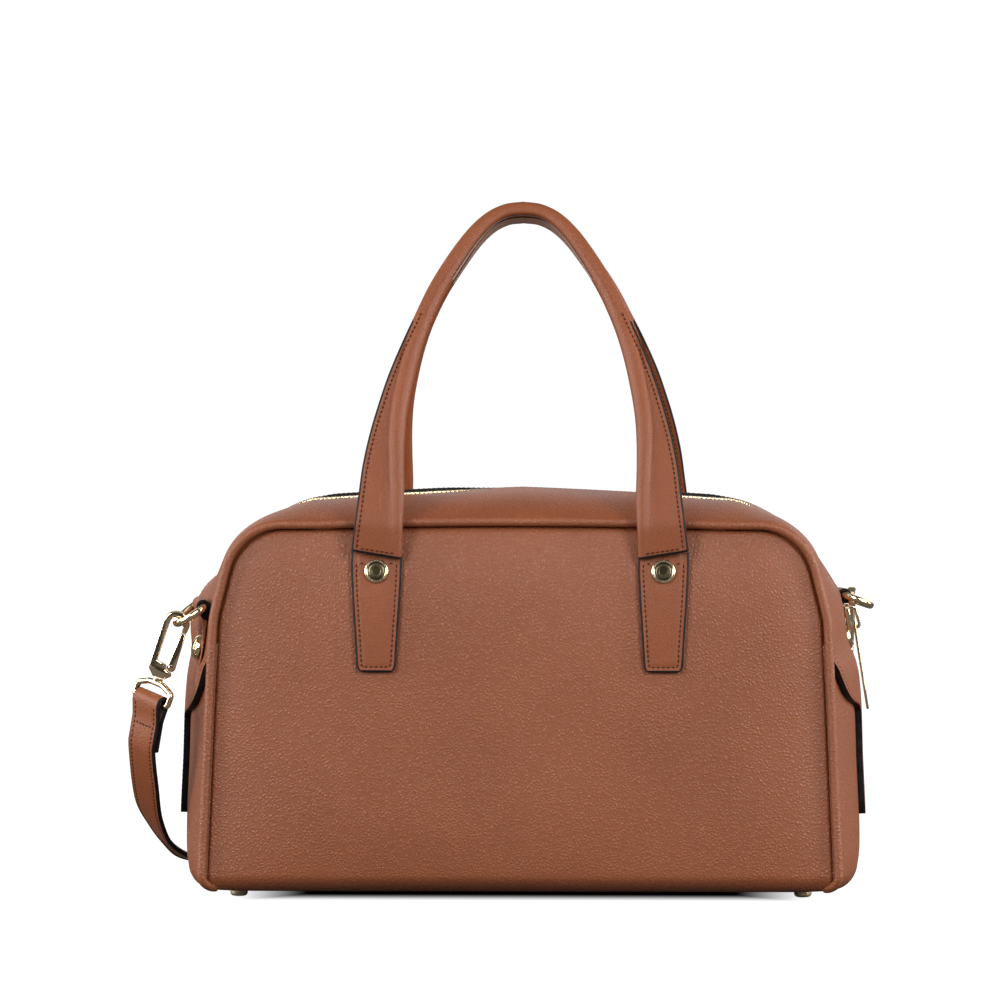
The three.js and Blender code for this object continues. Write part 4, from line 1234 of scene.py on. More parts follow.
def make_zip_teeth():
    deselect()
    bpy.ops.mesh.primitive_cube_add(size=MM)
    tooth = named("tooth_pattern")
    edit_whole(tooth)
    bpy.ops.transform.resize(value=TOOTH, center_override=(0, 0, 0))
    bpy.ops.mesh.bevel(offset=TOOTH_BEVEL * MM, segments=1, affect="EDGES")
    bpy.ops.object.mode_set(mode="OBJECT")
    frames = []
    reach = ZIP_END - 1.5
    count = int(2 * reach / TOOTH_PITCH)
    for k, s in enumerate(steps(-reach, reach, 2 * count)):
        y = TOOTH_SIDE if k % 2 else -TOOTH_SIDE
        along = (gusset(s + 0.5, y) - gusset(s - 0.5, y)).normalized()
        _, _, nx, nz, _ = seam(s)
        frames.append((gusset(s, y, TOOTH_LIFT - zip_sink(s)), along, Vector((nx, 0, nz))))
    teeth = repeat("zip_gold_teeth", tooth, frames, GOLD)
    bpy.data.objects.remove(tooth)
    hand_over(teeth, "bag", "metal", "zip_teeth")


def make_slider_and_pull():
    origin, out, up, across = gusset_frame(along_at(SLIDER_Z), 0)
    crown = [(-3.2, -7), (3.2, -7), (4.4, 2)] + oval(0, 2, 4.4, 3.8, 10, 170, 12) + [(-4.4, 2)]
    body = plate("slider_body", [crown], SLIDER_THICK, 0.6, basis(origin + out * SLIDER_OUT, across, up))
    bridge = [(2.4, -7), (5.4, -7), (6.6, -6.6), (7.2, -5.6), (7.4, -3.6), (6.6, 3.4), (2.4, 4.6), (2.4, 3.2)]
    bridge += [(5.2, 2.2), (5.6, -3.6), (5.4, -4.8), (4.6, -5.3), (2.4, -5.3)]
    arch = plate("slider_bridge", [bridge], SLIDER_THICK, 0.35, basis(origin, out, up))
    slider = join("zip_gold_slider", [body, arch])
    paint(slider, GOLD)
    hand_over(slider, "bag", "metal", "zip_slider")

    hinge = origin + out * PULL_OUT - up * PULL_DROP
    lean = PULL_LEAN * RAD
    down = Vector((math.sin(lean), 0, -math.cos(lean)))
    face = Vector((math.cos(lean), 0, math.sin(lean)))
    wide = face.cross(down)
    tip = PULL_LENGTH * PULL_TIP
    leaf = [(-3, PULL_PLAY - PULL_BAR), (3, PULL_PLAY - PULL_BAR), (3.4, 5), (PULL_HALF, tip)]
    leaf += oval(0, tip, PULL_HALF, PULL_LENGTH - tip, 8, 172, 18) + [(-PULL_HALF, tip), (-3.4, 5)]
    eye = [(-1.75, PULL_BAR - 0.1), (-1.75, 5.6), (1.75, 5.6), (1.75, PULL_BAR - 0.1)]
    pull = plate("zip_gold_pull", [leaf, eye], 2 * (PULL_BAR - PULL_PLAY), 0.3, basis(hinge, wide, down))
    paint(pull, GOLD)
    hand_over(pull, "zip_pull", "metal", "zip_pull")


# Handles


HANDLE_ROWS = list(range(len(HANDLE["z"])))
CROWN_Z = HANDLE["z"][-1]


def handle_row(k):
    """Row of the handle's table at a place k, which runs from one end (0) over the crown to the other."""
    crown = HANDLE_ROWS[-1]
    return crown - abs(crown - k)


def handle_value(column, k):
    return flowing(HANDLE_ROWS, HANDLE[column], handle_row(k))


def handle_path(side, drop, k):
    z = handle_value("z", k)
    z -= drop * smoothstep(z, HANDLE_DROP_Z, CROWN_Z)
    base = panel_face(side, TAB_X, HANDLE_END_Z) + TAB_SEAT + TAB_LEATHER + GAP + HANDLE["inner"][0]
    rise = max(0.0, (z - HANDLE_LEAN_Z) / (CROWN_Z - drop - HANDLE_LEAN_Z))
    x = handle_value("span", k) * (-1 if k < HANDLE_ROWS[-1] else 1)
    return Vector((x, side * lerp(base, HANDLE_CROWN_Y, min(1.0, rise) ** HANDLE_LEAN_POWER), z))


def crown_share(k):
    return smoothstep(handle_row(k), CROWN_START, CROWN_FULL)


def handle_frame(name, k):
    """Place of a handle's section with its outward and front directions."""
    side, drop = SIDES[name], HANDLE_DROPS[name]
    end = 2 * HANDLE_ROWS[-1]
    before = handle_path(side, drop, max(0.0, k - 0.05))
    after = handle_path(side, drop, min(end, k + 0.05))
    along = (after - before).normalized()
    flat = Vector((along.x, 0, along.z)).normalized()
    outward = Vector((-flat.z, 0, flat.x))
    turn = -1 if k < HANDLE_ROWS[-1] else 1
    slant = turn * handle_value("slant", k) * RAD
    outward = Matrix.Rotation(-slant, 3, "Y") @ outward
    front = along.cross(outward).normalized()
    twist = HANDLE_TWISTS[name] * crown_share(k) * RAD
    turned_out = outward * math.cos(twist) - front * math.sin(twist)
    turned_front = front * math.cos(twist) + outward * math.sin(twist)
    return handle_path(side, drop, k), turned_out, turned_front


def handle_sizes(k):
    half, inner, fin = [handle_value(column, k) for column in ("half", "inner", "fin")]
    fin = min(fin, half)
    roll = -half + inner
    fold = roll + math.sqrt(max(0.0, inner**2 - fin**2))
    return half, inner, fin, roll, fold


def handle_thickness(k, x):
    """Half thickness of the section at x: a roll on the inside of the arch and a flat fin on the outside."""
    half, inner, fin, roll, fold = handle_sizes(k)
    round_part = math.sqrt(max(0.0, inner**2 - (x - roll) ** 2))
    if x < roll:
        return round_part
    closing = smoothstep(fin, *FIN_CLOSING)
    soft = lerp(inner, fin, smoothstep(x, roll, roll + HANDLE_SOFT["reach"] * inner))
    from_crease = (x - fold - HANDLE_CREASE["from_fold"]) / HANDLE_CREASE["spread"]
    folded = max(round_part, fin) - HANDLE_CREASE["depth"] * (1 - closing) * math.exp(-(from_crease**2))
    thick = lerp(soft, folded, smoothstep(handle_row(k), HANDLE_SOFT["start"], HANDLE_SOFT["end"]))
    cap = math.sqrt(max(0.0, fin**2 - max(0.0, x - half + fin) ** 2))
    rounded = thick - groove("handle", half - x) * (1 - closing) - border_drop(half - x)
    return lerp(rounded, min(thick, cap), closing)


# Rows close to an end, rings of a section's round half, and faces of the lining beside its middle
END_ROWS = (0.0, 0.02, 0.05, 0.1, 0.14)
END_PAINTED = 0.1
HANDLE_RING = 12
LINING_STEPS = 5


def handle_ring(k, from_end):
    """Points (x, thickness) of a section, from the fin's edge over one face, the roll and the other face."""
    half, inner, _, roll, fold = handle_sizes(k)
    thinner = border_drop(from_end)
    corner = END_ROUND * (1 - math.sqrt(1 - max(0.0, 1 - from_end / END_ROUND) ** 2))
    flat = half - EDGE_ROUND
    xs = [lerp(roll, flat, math.sin(a * RAD)) for a in steps(75, 0, HANDLE_RING)]
    xs += [min(flat, fold + step) for step in (1.0, 0.3, -0.3)]
    xs = [half, half - 0.25, flat] + sorted(xs, reverse=True)
    xs += [roll - inner * math.sin(a * RAD) for a in steps(0, 90, HANDLE_RING)[1:]]
    squeeze = (half - corner) / half
    squash = lerp(1, HANDLE_SQUASH, crown_share(k))
    face = []
    for x in xs:
        thick = max(0.0, handle_thickness(k, x) - thinner)
        face.append((x * squeeze * (squash if x < 0 else 1), thick))
    return face + [(x, -thick) for x, thick in reversed(face[:-1])]


def handle_skin(stations, loop):
    """Faces of a handle, ring after ring, with the number of each face's material."""
    faces = []
    painted = []
    for i in range(len(stations) - 1):
        middle = (stations[i] + stations[i + 1]) / 2
        at_end = handle_row(middle) < END_PAINTED
        flat = handle_value("fin", middle) < FIN_PAINTED
        lined = handle_row(middle) > CROWN_START
        for j in range(loop):
            from_bottom = abs(j - loop // 2 + 0.5)
            first = i * loop + j
            second = i * loop + (j + 1) % loop
            faces.append((first, second, second + loop, first + loop))
            edge = at_end or (flat and (j < 2 or j >= loop - 3))
            border = lined and LINING_STEPS < from_bottom < LINING_STEPS + 1
            lining = lined and from_bottom < LINING_STEPS
            painted.append(2 if lining else int(edge or border))
    faces.append(tuple(range(loop - 1, -1, -1)))
    faces.append(tuple(range((len(stations) - 1) * loop, len(stations) * loop)))
    return faces, painted + [1, 1]


def make_handles(rows):
    end = 2 * HANDLE_ROWS[-1]
    middle = steps(0, end, end * HANDLE_STEPS)[2:-2]
    stations = list(END_ROWS) + middle + [end - k for k in reversed(END_ROWS)]
    for name in SIDES:
        points = []
        for k in stations:
            origin, outward, front = handle_frame(name, k)
            ring = handle_ring(k, min(k, end - k) * ROW_LENGTH)
            points.extend(place(origin + outward * x + front * t) for x, t in ring)
        faces, painted = handle_skin(stations, len(ring))
        mesh = bpy.data.meshes.new(f"leather_handle_{name}")
        mesh.from_pydata(points, [], faces)
        piece = bpy.data.objects.new(f"leather_handle_{name}", mesh)
        bpy.context.scene.collection.objects.link(piece)
        paint(piece, TAN_HANDLE, EDGE, HANDLE_LINING)
        mesh.polygons.foreach_set("material_index", painted)
        recalculate(piece)
        smooth(piece, 50)
        hand_over(piece, "bag", "leather", f"handle_{name}")
        handle_stitches(name, rows)


def handle_stitches(name, rows):
    """Seams along the fin and across the ends, on both faces of a handle."""
    end = 2.0 * HANDLE_ROWS[-1]
    first, last, cross = 0.17, 8.2, 0.19
    for start, direction in ((0.0, 1), (end, -1)):
        for face in (1, -1):
            line = []
            normals = []
            for k in steps(first, last, 90):
                at = start + direction * k
                origin, outward, front = handle_frame(name, at)
                x = handle_value("half", at) - STITCH_INSET
                line.append(origin + outward * x + front * face * (handle_thickness(at, x) + 0.1))
                normals.append(front * face)
            rows.append((line, normals))
            origin, outward, front = handle_frame(name, start + direction * cross)
            reach = handle_value("half", cross) - STITCH_INSET
            across = steps(-reach + 1, reach - 1.5, 10)
            ends = [outward * x + front * face * (handle_thickness(cross, x) + 0.1) for x in across]
            rows.append(([origin + p for p in ends], [front * face] * len(ends)))


def tab_half(z):
    return flowing(TAB["z"], TAB["half"], z)


def tab_lift(x, z, half):
    """Height of a tab's face over the panel, with the sewn groove inside its edge."""
    to_edge = min(half - abs(x), z - TAB["z"][0])
    to_rivet = math.hypot(x, z - RIVET_Z) / (RIVET_R + RIVET_PRESS["margin"])
    pressed = RIVET_PRESS["depth"] * math.exp(-(to_rivet**4))
    return TAB_SEAT + TAB_LEATHER - groove("tab", to_edge) - pressed - border_drop(to_edge)


def make_tabs(rows):
    inner_columns = 24
    columns = inner_columns + 2 * len(BORDER) - 2
    z_low, z_high = TAB["z"][0], TAB["z"][-1]
    lines = [z_low + step for step in BORDER[:-1]] + steps(z_low + BORDER[-1], z_high, 66)
    for name, x_side, y_side in CORNERS:
        middle = x_side * TAB_X

        def face(x, z):
            lift = tab_lift(x, z, tab_half(z))
            return Vector((middle + x, y_side * (panel_face(y_side, middle + x, z) + lift), z))

        def point(z, j):
            return face(bordered(tab_half(z), inner_columns)[j], z)

        def on_border(spot):
            to_edge = min(tab_half(spot.z) - abs(spot.x - middle), spot.z - z_low)
            return to_edge < BORDER[-1]

        piece = sheet(f"leather_tab_{name}", lines, columns, point, HEART)
        thicken(piece, TAB_LEATHER - 0.2, [TAN_HANDLE, EDGE], border=on_border)
        hand_over(piece, "bag", "leather", f"tab_{name}")

        low = z_low + STITCH_INSET
        high = HANDLE_END_Z - 1.8
        left = [(-(tab_half(z) - STITCH_INSET), z) for z in steps(high, low + 1, 40)]
        right = [(-x, z) for x, z in reversed(left)]
        reach = tab_half(low + 1) - STITCH_INSET - 0.6
        route = left + [(x, low) for x in steps(-reach, reach, 8)] + right
        wide = tab_half(high) - STITCH_INSET
        for line in (route, [(x, high) for x in (-wide + 1.5, -6)], [(x, high) for x in (6, wide - 1.5)]):
            rows.append(([face(x, z) for x, z in line], [Vector((0, y_side, 0))] * len(line)))

        above, below = [panel_face(y_side, middle, RIVET_Z + step) for step in (5, -5)]
        slope = (above - below) / 10
        axis = Vector((0, y_side, -slope)).normalized()
        make_rivet(name, face(0, RIVET_Z) + axis * RIVET_SEAT, axis)


def make_rivet(name, seat, axis):
    """Bright rim round a dark well, with an aged band in the well."""
    profile = [(RIVET_GROWN * radius, high) for radius, high in RIVET]
    rivet = turned(f"metal_rivet_{name}", profile, seat, axis, sides=48)
    paint(rivet, BRUSHED, BRONZE, BRASS)
    band_in, band_out = RIVET_BAND
    for polygon in rivet.data.polygons:
        from_axis = (polygon.center - place(seat)) / MM
        high = from_axis.dot(axis)
        wide = (from_axis - axis * high).length / RIVET_GROWN
        if high > 0.3 and wide < RIVET_WELL:
            polygon.material_index = 2 if band_in < wide < band_out else 1
    hand_over(rivet, "bag", "metal", f"rivet_{name}")


def make_feet():
    for name, x_side, y_side in CORNERS:
        spot = (x_side * FOOT_X, y_side * FOOT_Y, 0)
        foot = turned(f"metal_foot_{name}", FOOT, spot, Vector((0, 0, 1)))
        paint(foot, SATIN)
        hand_over(foot, "bag", "metal", f"foot_{name}")


# Ring sets and clasps


def make_ring_set(name, s, y, droop, rows):
    origin, out, up, across = gusset_frame(s, y)
    upward = 1 if s < 0 else -1

    def lying(p):
        """Height of the gusset over the loop's own plane."""
        return GAP + (gusset(s + upward * p, y) - origin).dot(out)

    def surface(p):
        return lying(p) + lerp(LOOP_THIN, LOOP_THICK, smoothstep(p, -LOOP_TAIL + 6, -4))

    make_loop(name, (origin, out, up, across), lying, surface, rows)
    make_stud(name, origin + out * (surface(-STUD_DROP) + GAP) - up * STUD_DROP, out)
    bar = origin + out * BAR_OUT
    reach = out * math.cos(droop * RAD) - up * math.sin(droop * RAD)
    make_d_ring(name, bar, across, reach)
    return bar, reach, across


def make_loop(name, axes, lying, surface, rows):
    origin, out, up, across = axes
    tail = steps(-LOOP_TAIL, -6, 12)
    outline = [(lying(p), p) for p in reversed(tail)] + [(surface(p), p) for p in tail]
    outline += arc(BAR_OUT, 0, LOOP_R, -50, 185, 22)
    eye = arc(BAR_OUT, 0, WIRE_R + GAP, 360, 15, 22)
    loop = plate(f"leather_loop_{name}", [outline, eye], LOOP_WIDTH, 0.5, basis(origin, out, up))
    paint(loop, TAN, EDGE)
    thick = out.cross(up)
    for face in loop.data.polygons:
        height = (face.center - place(origin)).dot(up) / MM
        face.material_index = 1 if abs(face.normal.dot(thick)) > 0.6 and height > -5 else 0
    hand_over(loop, "bag", "leather", f"ring_loop_{name}")

    for edge in (-1, 1):
        line = [
            origin + out * (surface(p) - 0.2) + up * p + across * edge * (LOOP_WIDTH / 2 - STITCH_INSET)
            for p in steps(-LOOP_TAIL + 2.5, -9, 12)
        ]
        rows.append((line, [out] * len(line)))


def make_stud(name, seat, out):
    dome = oval(0, STUD_DOME["foot"], STUD_DOME["radius"], STUD_DOME["height"], 8, 88, 9)
    stud = turned(f"metal_stud_{name}", list(STUD_RIM) + dome, seat, out, sides=48)
    paint(stud, GOLD)
    hand_over(stud, "bag", "metal", f"stud_{name}")


def make_d_ring(name, bar, across, reach):
    half = arc(RING_HALF - RING_FILLET, RING_FILLET, RING_FILLET, -90, 0, 8)
    half += arc(0, RING_DEPTH - RING_HALF, RING_HALF, 0, 90, 24)
    path = half + [(-a, b) for a, b in reversed(half[:-1])]
    wire = [bar + across * a + reach * b for a, b in path]
    ring = tube(f"metal_d_ring_{name}", wire, WIRE_R, closed=True, sides=6)
    paint(ring, GOLD)
    hand_over(ring, "bag", "metal", f"d_ring_{name}")


def make_clasp(name, seat, down, opening, bar_across):
    """Hook, gate and bracket. Gives back the place and the direction of the bar that holds the strap."""
    origin = seat + down * (HOOK_IN - WIRE_R - 3 * GAP)
    make_hook(name, origin, down, opening)
    make_gate(name, origin, down, opening)
    make_bracket(name, origin, down, bar_across)
    return origin + down * BRACKET_BAR, bar_across


def make_hook(name, origin, down, opening):
    outline = [(-HOOK_OUT + 0.6, BASE_END - 3), (-HOOK_OUT, BASE_END - 5)]
    outline += arc(0, 0, HOOK_OUT, 180, 360, 28)
    outline += [(HOOK_OUT - 0.4, HOOK_TIP), (HOOK_IN + 0.6, HOOK_TIP)]
    outline += arc(0, 0, HOOK_IN, 360, 180, 20) + [(-HOOK_IN, BASE_TOP)]
    outline += arc(GATE_PIVOT_IN, GATE_PIVOT_DOWN, KNUCKLE_R + GAP, 190, 75, 12)
    outline += [(HOOK_OUT - 0.8, BASE_END - 2.4), (3, BASE_END), (-3, BASE_END)]
    hook = plate(f"metal_hook_{name}", [outline], HOOK_THICK, 0.9, basis(origin, opening, down))
    paint(hook, GOLD)
    hand_over(hook, "bag", "metal", f"clasp_hook_{name}")


def make_gate(name, origin, down, opening):
    outline = [(HOOK_IN + 0.5, HOOK_TIP + GAP), (HOOK_OUT - 0.5, HOOK_TIP + GAP)]
    outline += arc(GATE_PIVOT_IN, GATE_PIVOT_DOWN, KNUCKLE_R, -15, 205, 18)
    gate = plate("gate_lever", [outline], HOOK_THICK - 1, 0.5, basis(origin, opening, down))
    thick = opening.cross(down)
    pivot = origin + opening * GATE_PIVOT_IN + down * GATE_PIVOT_DOWN
    pins = [
        turned("gate_pin", GATE_PIN, pivot + thick * face * (HOOK_THICK - 1) / 2, thick * face, sides=20)
        for face in (1, -1)
    ]
    gate = join(f"metal_gate_{name}", [gate] + pins)
    paint(gate, GOLD)
    hand_over(gate, f"gate_{name}", "metal", f"clasp_gate_{name}")


def make_bracket(name, origin, down, bar_across):
    def at(across, depth):
        return origin + bar_across * across + down * depth

    corners = [at(a, d) for a, d in BRACKET] + [at(-a, d) for a, d in reversed(BRACKET)]
    path = []
    for k, corner in enumerate(corners):
        before = corners[k - 1] - corner
        after = corners[(k + 1) % len(corners)] - corner
        start = corner + before.normalized() * BRACKET_FILLET
        finish = corner + after.normalized() * BRACKET_FILLET
        for t in steps(0, 1, 5):
            path.append(start.lerp(corner, t).lerp(corner.lerp(finish, t), t))
    wire = tube("bracket_wire", path, BRACKET_R, closed=True, sides=5)
    swivel = turned("bracket_post", SWIVEL_POST, at(0, BASE_END + GAP), down, sides=28)
    bracket = join(f"metal_bracket_{name}", [wire, swivel])
    paint(bracket, GOLD)
    hand_over(bracket, "bag", "metal", f"strap_bracket_{name}")


def plumb(across):
    return (Vector((0, 0, -1)) + across * across.z).normalized()


# Shoulder strap


def strap_fold(bar, across, down, outward):
    """The strap's end: up the back, round the bracket's bar and down the front."""
    near = STRAP_THICK / 2 + 0.16
    radius = BRACKET_R + GAP + STRAP_THICK / 2 + 0.05
    leg = [(near, 15), (near, 12), (near, 9), (lerp(near, radius, 0.5), 5), (radius, 1.5)]
    profile = [(-near, FOLD_BACK)] + [(-n, d) for n, d in leg]
    profile += arc(0, 0, radius, -180, 0, 14) + leg[::-1] + [(near, FOLD_BACK - 2)]
    return [(bar + outward * n + down * d, across) for n, d in profile]


def strap_rows():
    rows = [dict(row) for row in STRAP_LEFT]
    arc_x = (FLOOR_ARC["left"] + FLOOR_ARC["right"]) / 2
    arc_r = (FLOOR_ARC["left"] - FLOOR_ARC["right"]) / 2
    for angle in steps(0, 180, FLOOR_ARC["rows"] - 1):
        bank = lerp(FLOOR_ARC["ends"], FLOOR_ARC["middle"], math.sin(angle * RAD))
        lying = STRAP_WIDTH / 2 * math.sin(bank * RAD) + STRAP_THICK / 2 * math.cos(bank * RAD)
        rows.append({
            "x": arc_x + arc_r * math.cos(angle * RAD),
            "y": FLOOR_ARC["start"] + FLOOR_ARC["reach"] * math.sin(angle * RAD),
            "z": lying,
            "heading": -angle,
            "bank": bank,
        })
    rows += [dict(row) for row in STRAP_RIGHT]
    guide = []
    for row in rows:
        heading, bank = row["heading"] * RAD, row["bank"] * RAD
        across = Vector(
            (math.cos(heading) * math.cos(bank), math.sin(heading) * math.cos(bank), math.sin(bank))
        )
        guide.append((Vector((row["x"], row["y"], row["z"])), across))
    return guide


def strap_stations(left_end, right_end):
    left_bar, left_across, left_down = left_end
    right_bar, right_across, right_down = right_end
    left_out = left_down.cross(left_across).normalized()
    right_out = right_across.cross(right_down).normalized()
    start = strap_fold(left_bar, left_across, left_down, left_out)
    finish = strap_fold(right_bar, right_across, right_down, right_out)[::-1]
    guide = [start[-2], start[-1]] + strap_rows() + [finish[0], finish[1]]
    knots = [0.0]
    for (a, _), (b, _) in zip(guide, guide[1:]):
        knots.append(knots[-1] + math.sqrt((b - a).length))
    run = []
    for k in range(1, len(guide) - 2):
        count = max(3, round((guide[k + 1][0] - guide[k][0]).length / 4))
        for u in steps(knots[k], knots[k + 1], count)[1:]:
            point = Vector([flowing(knots, [g[0][axis] for g in guide], u) for axis in range(3)])
            across = Vector([flowing(knots, [g[1][axis] for g in guide], u) for axis in range(3)])
            run.append((point, across.normalized()))
    stations = []
    everything = start + run + finish[1:]
    for k, (point, across) in enumerate(everything):
        before = everything[max(k - 1, 0)][0]
        after = everything[min(k + 1, len(everything) - 1)][0]
        along = (after - before).normalized()
        across = (across - along * across.dot(along)).normalized()
        out = along.cross(across).normalized()
        corners = [
            across * a * STRAP_WIDTH / 2 + out * b * STRAP_THICK / 2
            for a in (1, -1)
            for b in (1, -1)
        ]
        low = min((point + corner).z for corner in corners)
        stations.append((point + Vector((0, 0, max(0.0, -low))), across, out))
    return stations, len(start), len(finish)


def make_strap(left_end, right_end, rows):
    stations, start_count, finish_count = strap_stations(left_end, right_end)
    columns = 18
    half = STRAP_WIDTH / 2

    def face(k, x, side):
        point, across, out = stations[k]
        return point + across * x + out * side * (STRAP_THICK / 2 - groove("strap", half - abs(x)))

    def point(k, j):
        return face(k, (2 * j / columns - 1) * half, 1)

    piece = sheet("leather_shoulder_strap", list(range(len(stations))), columns, point, HEART)
    tested = 20
    band = list(piece.data.polygons)[tested * columns:(tested + 1) * columns]
    if sum(polygon.normal.dot(stations[tested][2]) for polygon in band) < 0:
        flip(piece)
    thicken(piece, STRAP_THICK, [TAN_HANDLE, EDGE, BACKING], rounding=EDGE_ROUND)
    hand_over(piece, "bag", "leather", "shoulder_strap")

    for edge in (-1, 1):
        for side in (1, -1):
            x = edge * (half - STITCH_INSET)
            inside = range(start_count // 2 + 8, len(stations) - finish_count // 2 - 8)
            line = [face(k, x, side) for k in inside]
            rows.append((line, [stations[k][2] * side for k in inside]))
    for k in (start_count - 3, len(stations) - finish_count + 2):
        across = steps(-half + STITCH_INSET + 1, half - STITCH_INSET - 1, 8)
        rows.append(([face(k, x, 1) for x in across], [stations[k][2]] * len(across)))


def make_carrying_gear(rows):
    s = -along_at(LEFT_SET["z"])
    bar, reach, _ = make_ring_set("left", s, LEFT_SET["y"], LEFT_SET["droop"], rows)
    tilt = LEFT_TILT * RAD
    down = Vector((-math.sin(tilt), 0, -math.cos(tilt)))
    opening = Vector((math.cos(tilt), 0, -math.sin(tilt)))
    turn = Matrix.Rotation(LEFT_TURN * RAD, 3, down)
    held, wide = make_clasp("left", bar + reach * RING_DEPTH, down, opening, turn @ opening)
    left_end = (held, wide, plumb(wide))

    s = along_at(RIGHT_SET["z"])
    bar, reach, across = make_ring_set("right", s, RIGHT_SET["y"], RIGHT_SET["droop"], rows)
    rear = across * (1 if across.y > 0 else -1)
    hook_seat = LOOP_R + HOOK_THICK / 2 + 4 * GAP
    seat_turn = math.asin((hook_seat - RING_DEPTH + RING_HALF) / RING_HALF)
    seat = bar + reach * hook_seat + rear * RING_HALF * math.cos(seat_turn)
    opening = (Vector((0, -1, 0)) + RIGHT_DOWN * RIGHT_DOWN.y).normalized()
    held, wide = make_clasp("right", seat, RIGHT_DOWN, opening, opening)
    right_end = (held, wide, RIGHT_DOWN)
    make_strap(left_end, right_end, rows)


def flap_stitches(rows):
    for side in (-1, 1):
        for edge in (-1, 1):
            line = []
            normals = []
            for z in steps(FLAP["z"][-1] + 3, FLAP["z"][0] + STITCH_INSET, 120):
                s = side * along_at(z)
                y = edge * max(4.0, flap_half(min(z, FLAP["z"][-1]), side) - STITCH_INSET - 0.6)
                line.append(gusset(s, y, flap_lift(z, y) - 0.3))
                normals.append(gusset_frame(s, y)[1])
            rows.append((line, normals))


def zip_stitches(rows):
    for edge in (-1, 1):
        y = edge * (SLOT_HALF + STITCH_INSET)
        lines = steps(-ZIP_END - 2, ZIP_END + 2, 260)
        line = [gusset(s, y, zip_edge(s, y) - 0.25) for s in lines]
        normals = [Vector((seam(s)[2], 0, seam(s)[3])) for s in lines]
        rows.append((line, normals))


def sew(pattern, name, rows):
    frames = []
    for line, normals in rows:
        frames.extend(spaced(line, normals, STITCH_PITCH))
    hand_over(repeat(name, pattern, frames, THREAD), "bag", None)


# Stage, light and camera

# Painted shadow: the floor's glow is taken away in a box under the bag, so the floor stays dark there
SHADOW_BOX_HALF_X = 122.0
SHADOW_BOX_HALF_Y = 62.0
SHADOW_BOX_FADE = 20.0
FLOOR_GLOW = 1.0


def pale_floor():
    """Soft white ground that reads white far away too; under the bag its glow is taken away, a painted shadow
    where only the lights reach it.
    """
    material, tree, shader, where = material_base("pale_floor")
    dye = group_node(tree, DYE, where, Scale=1.5)
    colour = mix_colours(tree, dye.outputs["Shade"], (0.1, 0.1, 0.1, 1), (0.12, 0.12, 0.12, 1))
    tree.links.new(colour, shader.inputs["Base Color"])
    shader.inputs["Roughness"].default_value = 0.9
    shader.inputs["Specular IOR Level"].default_value = 0.1
    parts = tree.nodes.new("ShaderNodeSeparateXYZ")
    tree.links.new(where, parts.inputs[0])
    beyond = []
    for axis, middle, half in (("X", MIDDLE.x, SHADOW_BOX_HALF_X * MM), ("Y", MIDDLE.y, SHADOW_BOX_HALF_Y * MM)):
        away = math_node(tree, "ABSOLUTE", math_node(tree, "SUBTRACT", parts.outputs[axis], middle), 0)
        beyond.append(math_node(tree, "SUBTRACT", away, half))
    past_shadow_box = math_node(tree, "MAXIMUM", *beyond)
    # Painted shadow: the glow fades out inside a box under the bag
    outside_painted_shadow = range_node(tree, past_shadow_box, -SHADOW_BOX_FADE * MM, SHADOW_BOX_FADE * MM, 0.0, FLOOR_GLOW)
    ray = tree.nodes.new("ShaderNodeLightPath")
    glow = math_node(tree, "MULTIPLY", ray.outputs["Is Camera Ray"], outside_painted_shadow)
    shader.inputs["Emission Color"].default_value = (1, 1, 1, 1)
    tree.links.new(glow, shader.inputs["Emission Strength"])
    return material


WORLD_LIGHT = (0.04, 0.14)
SOFTBOXES = (
    {"name": "softbox_front_left", "spot": (-1.35, -2.0, 1.1), "width": 0.8, "height": 1.2, "power": 36},
    {"name": "softbox_front_right", "spot": (1.35, -2.0, 1.1), "width": 0.8, "height": 1.2, "power": 36},
    {"name": "softbox_left", "spot": (-2.1, -0.4, 0.7), "width": 0.9, "height": 1.3, "power": 37},
    {"name": "softbox_right", "spot": (2.1, -0.4, 0.7), "width": 0.9, "height": 1.3, "power": 37},
    {"name": "softbox_rear_left", "spot": (-1.9, 1.0, 0.8), "width": 0.9, "height": 1.4, "power": 9},
    {"name": "softbox_rear_right", "spot": (1.9, 1.0, 0.8), "width": 0.9, "height": 1.4, "power": 9},
    {"name": "softbox_top", "spot": (0, -0.9, 2.0), "width": 1.8, "height": 1.0, "power": 5},
    {"name": "softbox_back", "spot": (0, 2.3, 0.8), "width": 2.4, "height": 1.0, "power": 13},
)


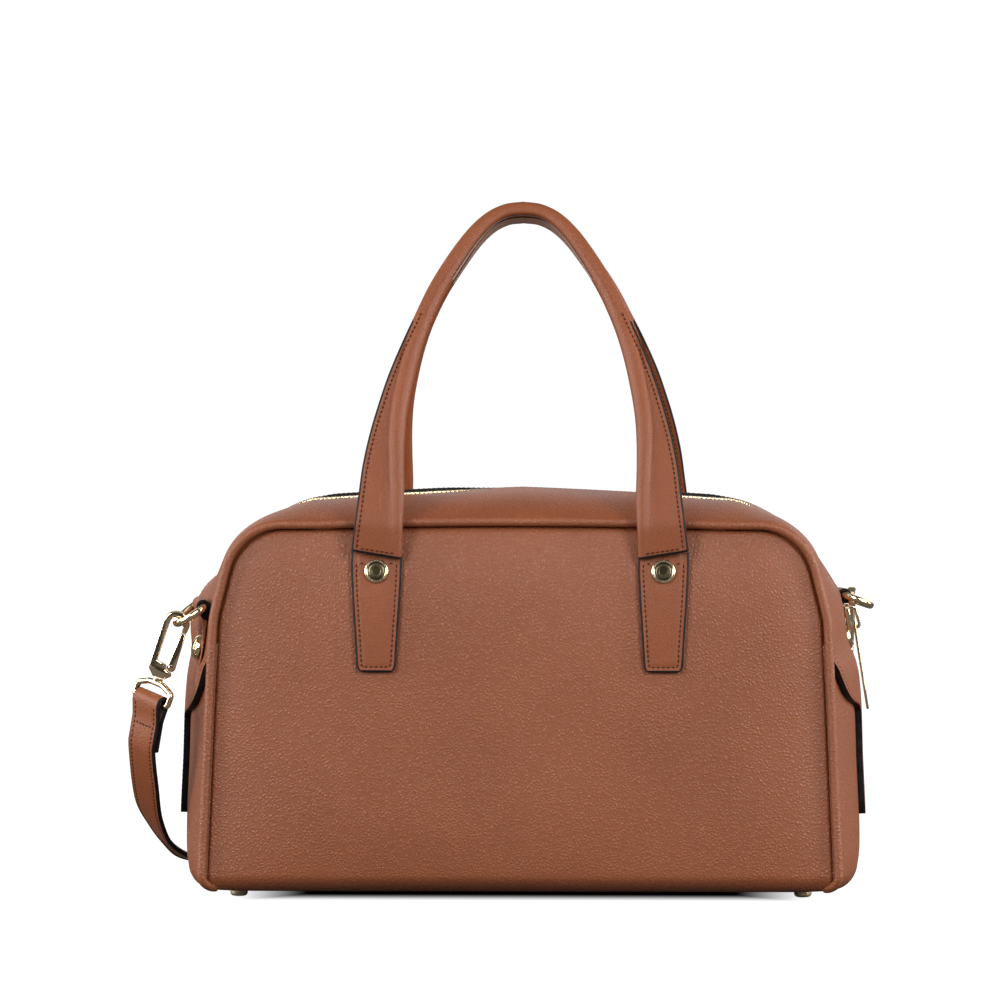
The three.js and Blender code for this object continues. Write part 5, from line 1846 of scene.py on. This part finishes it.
def make_stage():
    deselect()
    bpy.ops.mesh.primitive_plane_add(size=60, location=(0, 10, 0))
    floor = named("floor")
    bpy.ops.object.transform_apply(location=True)
    paint(floor, pale_floor())

    world = bpy.data.worlds.new("soft_room")
    bpy.context.scene.world = world
    world.use_nodes = True
    tree = world.node_tree
    background = tree.nodes["Background"]
    background.inputs["Color"].default_value = (1, 1, 1, 1)
    sky = tree.nodes.new("ShaderNodeTexCoord")
    parts = tree.nodes.new("ShaderNodeSeparateXYZ")
    tree.links.new(sky.outputs["Generated"], parts.inputs[0])
    strength = range_node(tree, parts.outputs["Z"], 0.0, 0.8, *WORLD_LIGHT)
    tree.links.new(strength, background.inputs["Strength"])

    heart = place((0, 0, 120))
    for row in SOFTBOXES:
        spot = Vector(row["spot"])
        bpy.ops.object.light_add(type="AREA", location=spot)
        light = bpy.context.object
        light.name = row["name"]
        light.data.shape = "RECTANGLE"
        light.data.size = row["width"]
        light.data.size_y = row["height"]
        light.data.energy = row["power"]
        light.visible_camera = False
        light.rotation_mode = "QUATERNION"
        light.rotation_quaternion = (heart - spot).to_track_quat("-Z", "Y")


def make_camera():
    """The photograph's place: slightly above and to the right, far away with a long lens."""
    elevation = 5.5 * RAD
    yaw = 1.4 * RAD
    distance = 6.0
    frame_width = 0.476
    aim_across = -0.0095
    aim_up = 0.1902
    target = place((0, -HALF_DEPTH_BOTTOM, 0))
    forward = Vector(
        (-math.sin(yaw) * math.cos(elevation), math.cos(yaw) * math.cos(elevation), -math.sin(elevation))
    )
    right = Vector((math.cos(yaw), math.sin(yaw), 0))
    up = right.cross(forward)
    eye = target - forward * distance
    aim = target + right * aim_across + up * aim_up
    bpy.ops.object.camera_add(location=eye)
    camera = bpy.context.object
    camera.rotation_mode = "QUATERNION"
    camera.rotation_quaternion = (aim - eye).to_track_quat("-Z", "Y")
    camera.data.sensor_width = 36
    camera.data.lens = 36 * distance / frame_width
    camera.data.clip_end = 200
    bpy.context.scene.camera = camera


def main():
    bpy.context.scene.view_settings.view_transform = "Standard"
    make_stage()
    make_camera()
    make_panels()
    make_side_walls()
    make_bottom()
    make_top_gusset()
    make_piping()
    make_zip_tape()
    make_zip_teeth()
    make_slider_and_pull()
    rows = {"handles": [], "tabs": [], "strap": [], "gusset": []}
    make_handles(rows["handles"])
    make_tabs(rows["tabs"])
    make_feet()
    make_carrying_gear(rows["strap"])
    flap_stitches(rows["gusset"])
    zip_stitches(rows["gusset"])
    pattern = stitch_pattern()
    for name, lines in rows.items():
        sew(pattern, f"stitches_{name}", lines)
    bpy.data.objects.remove(pattern)


main()
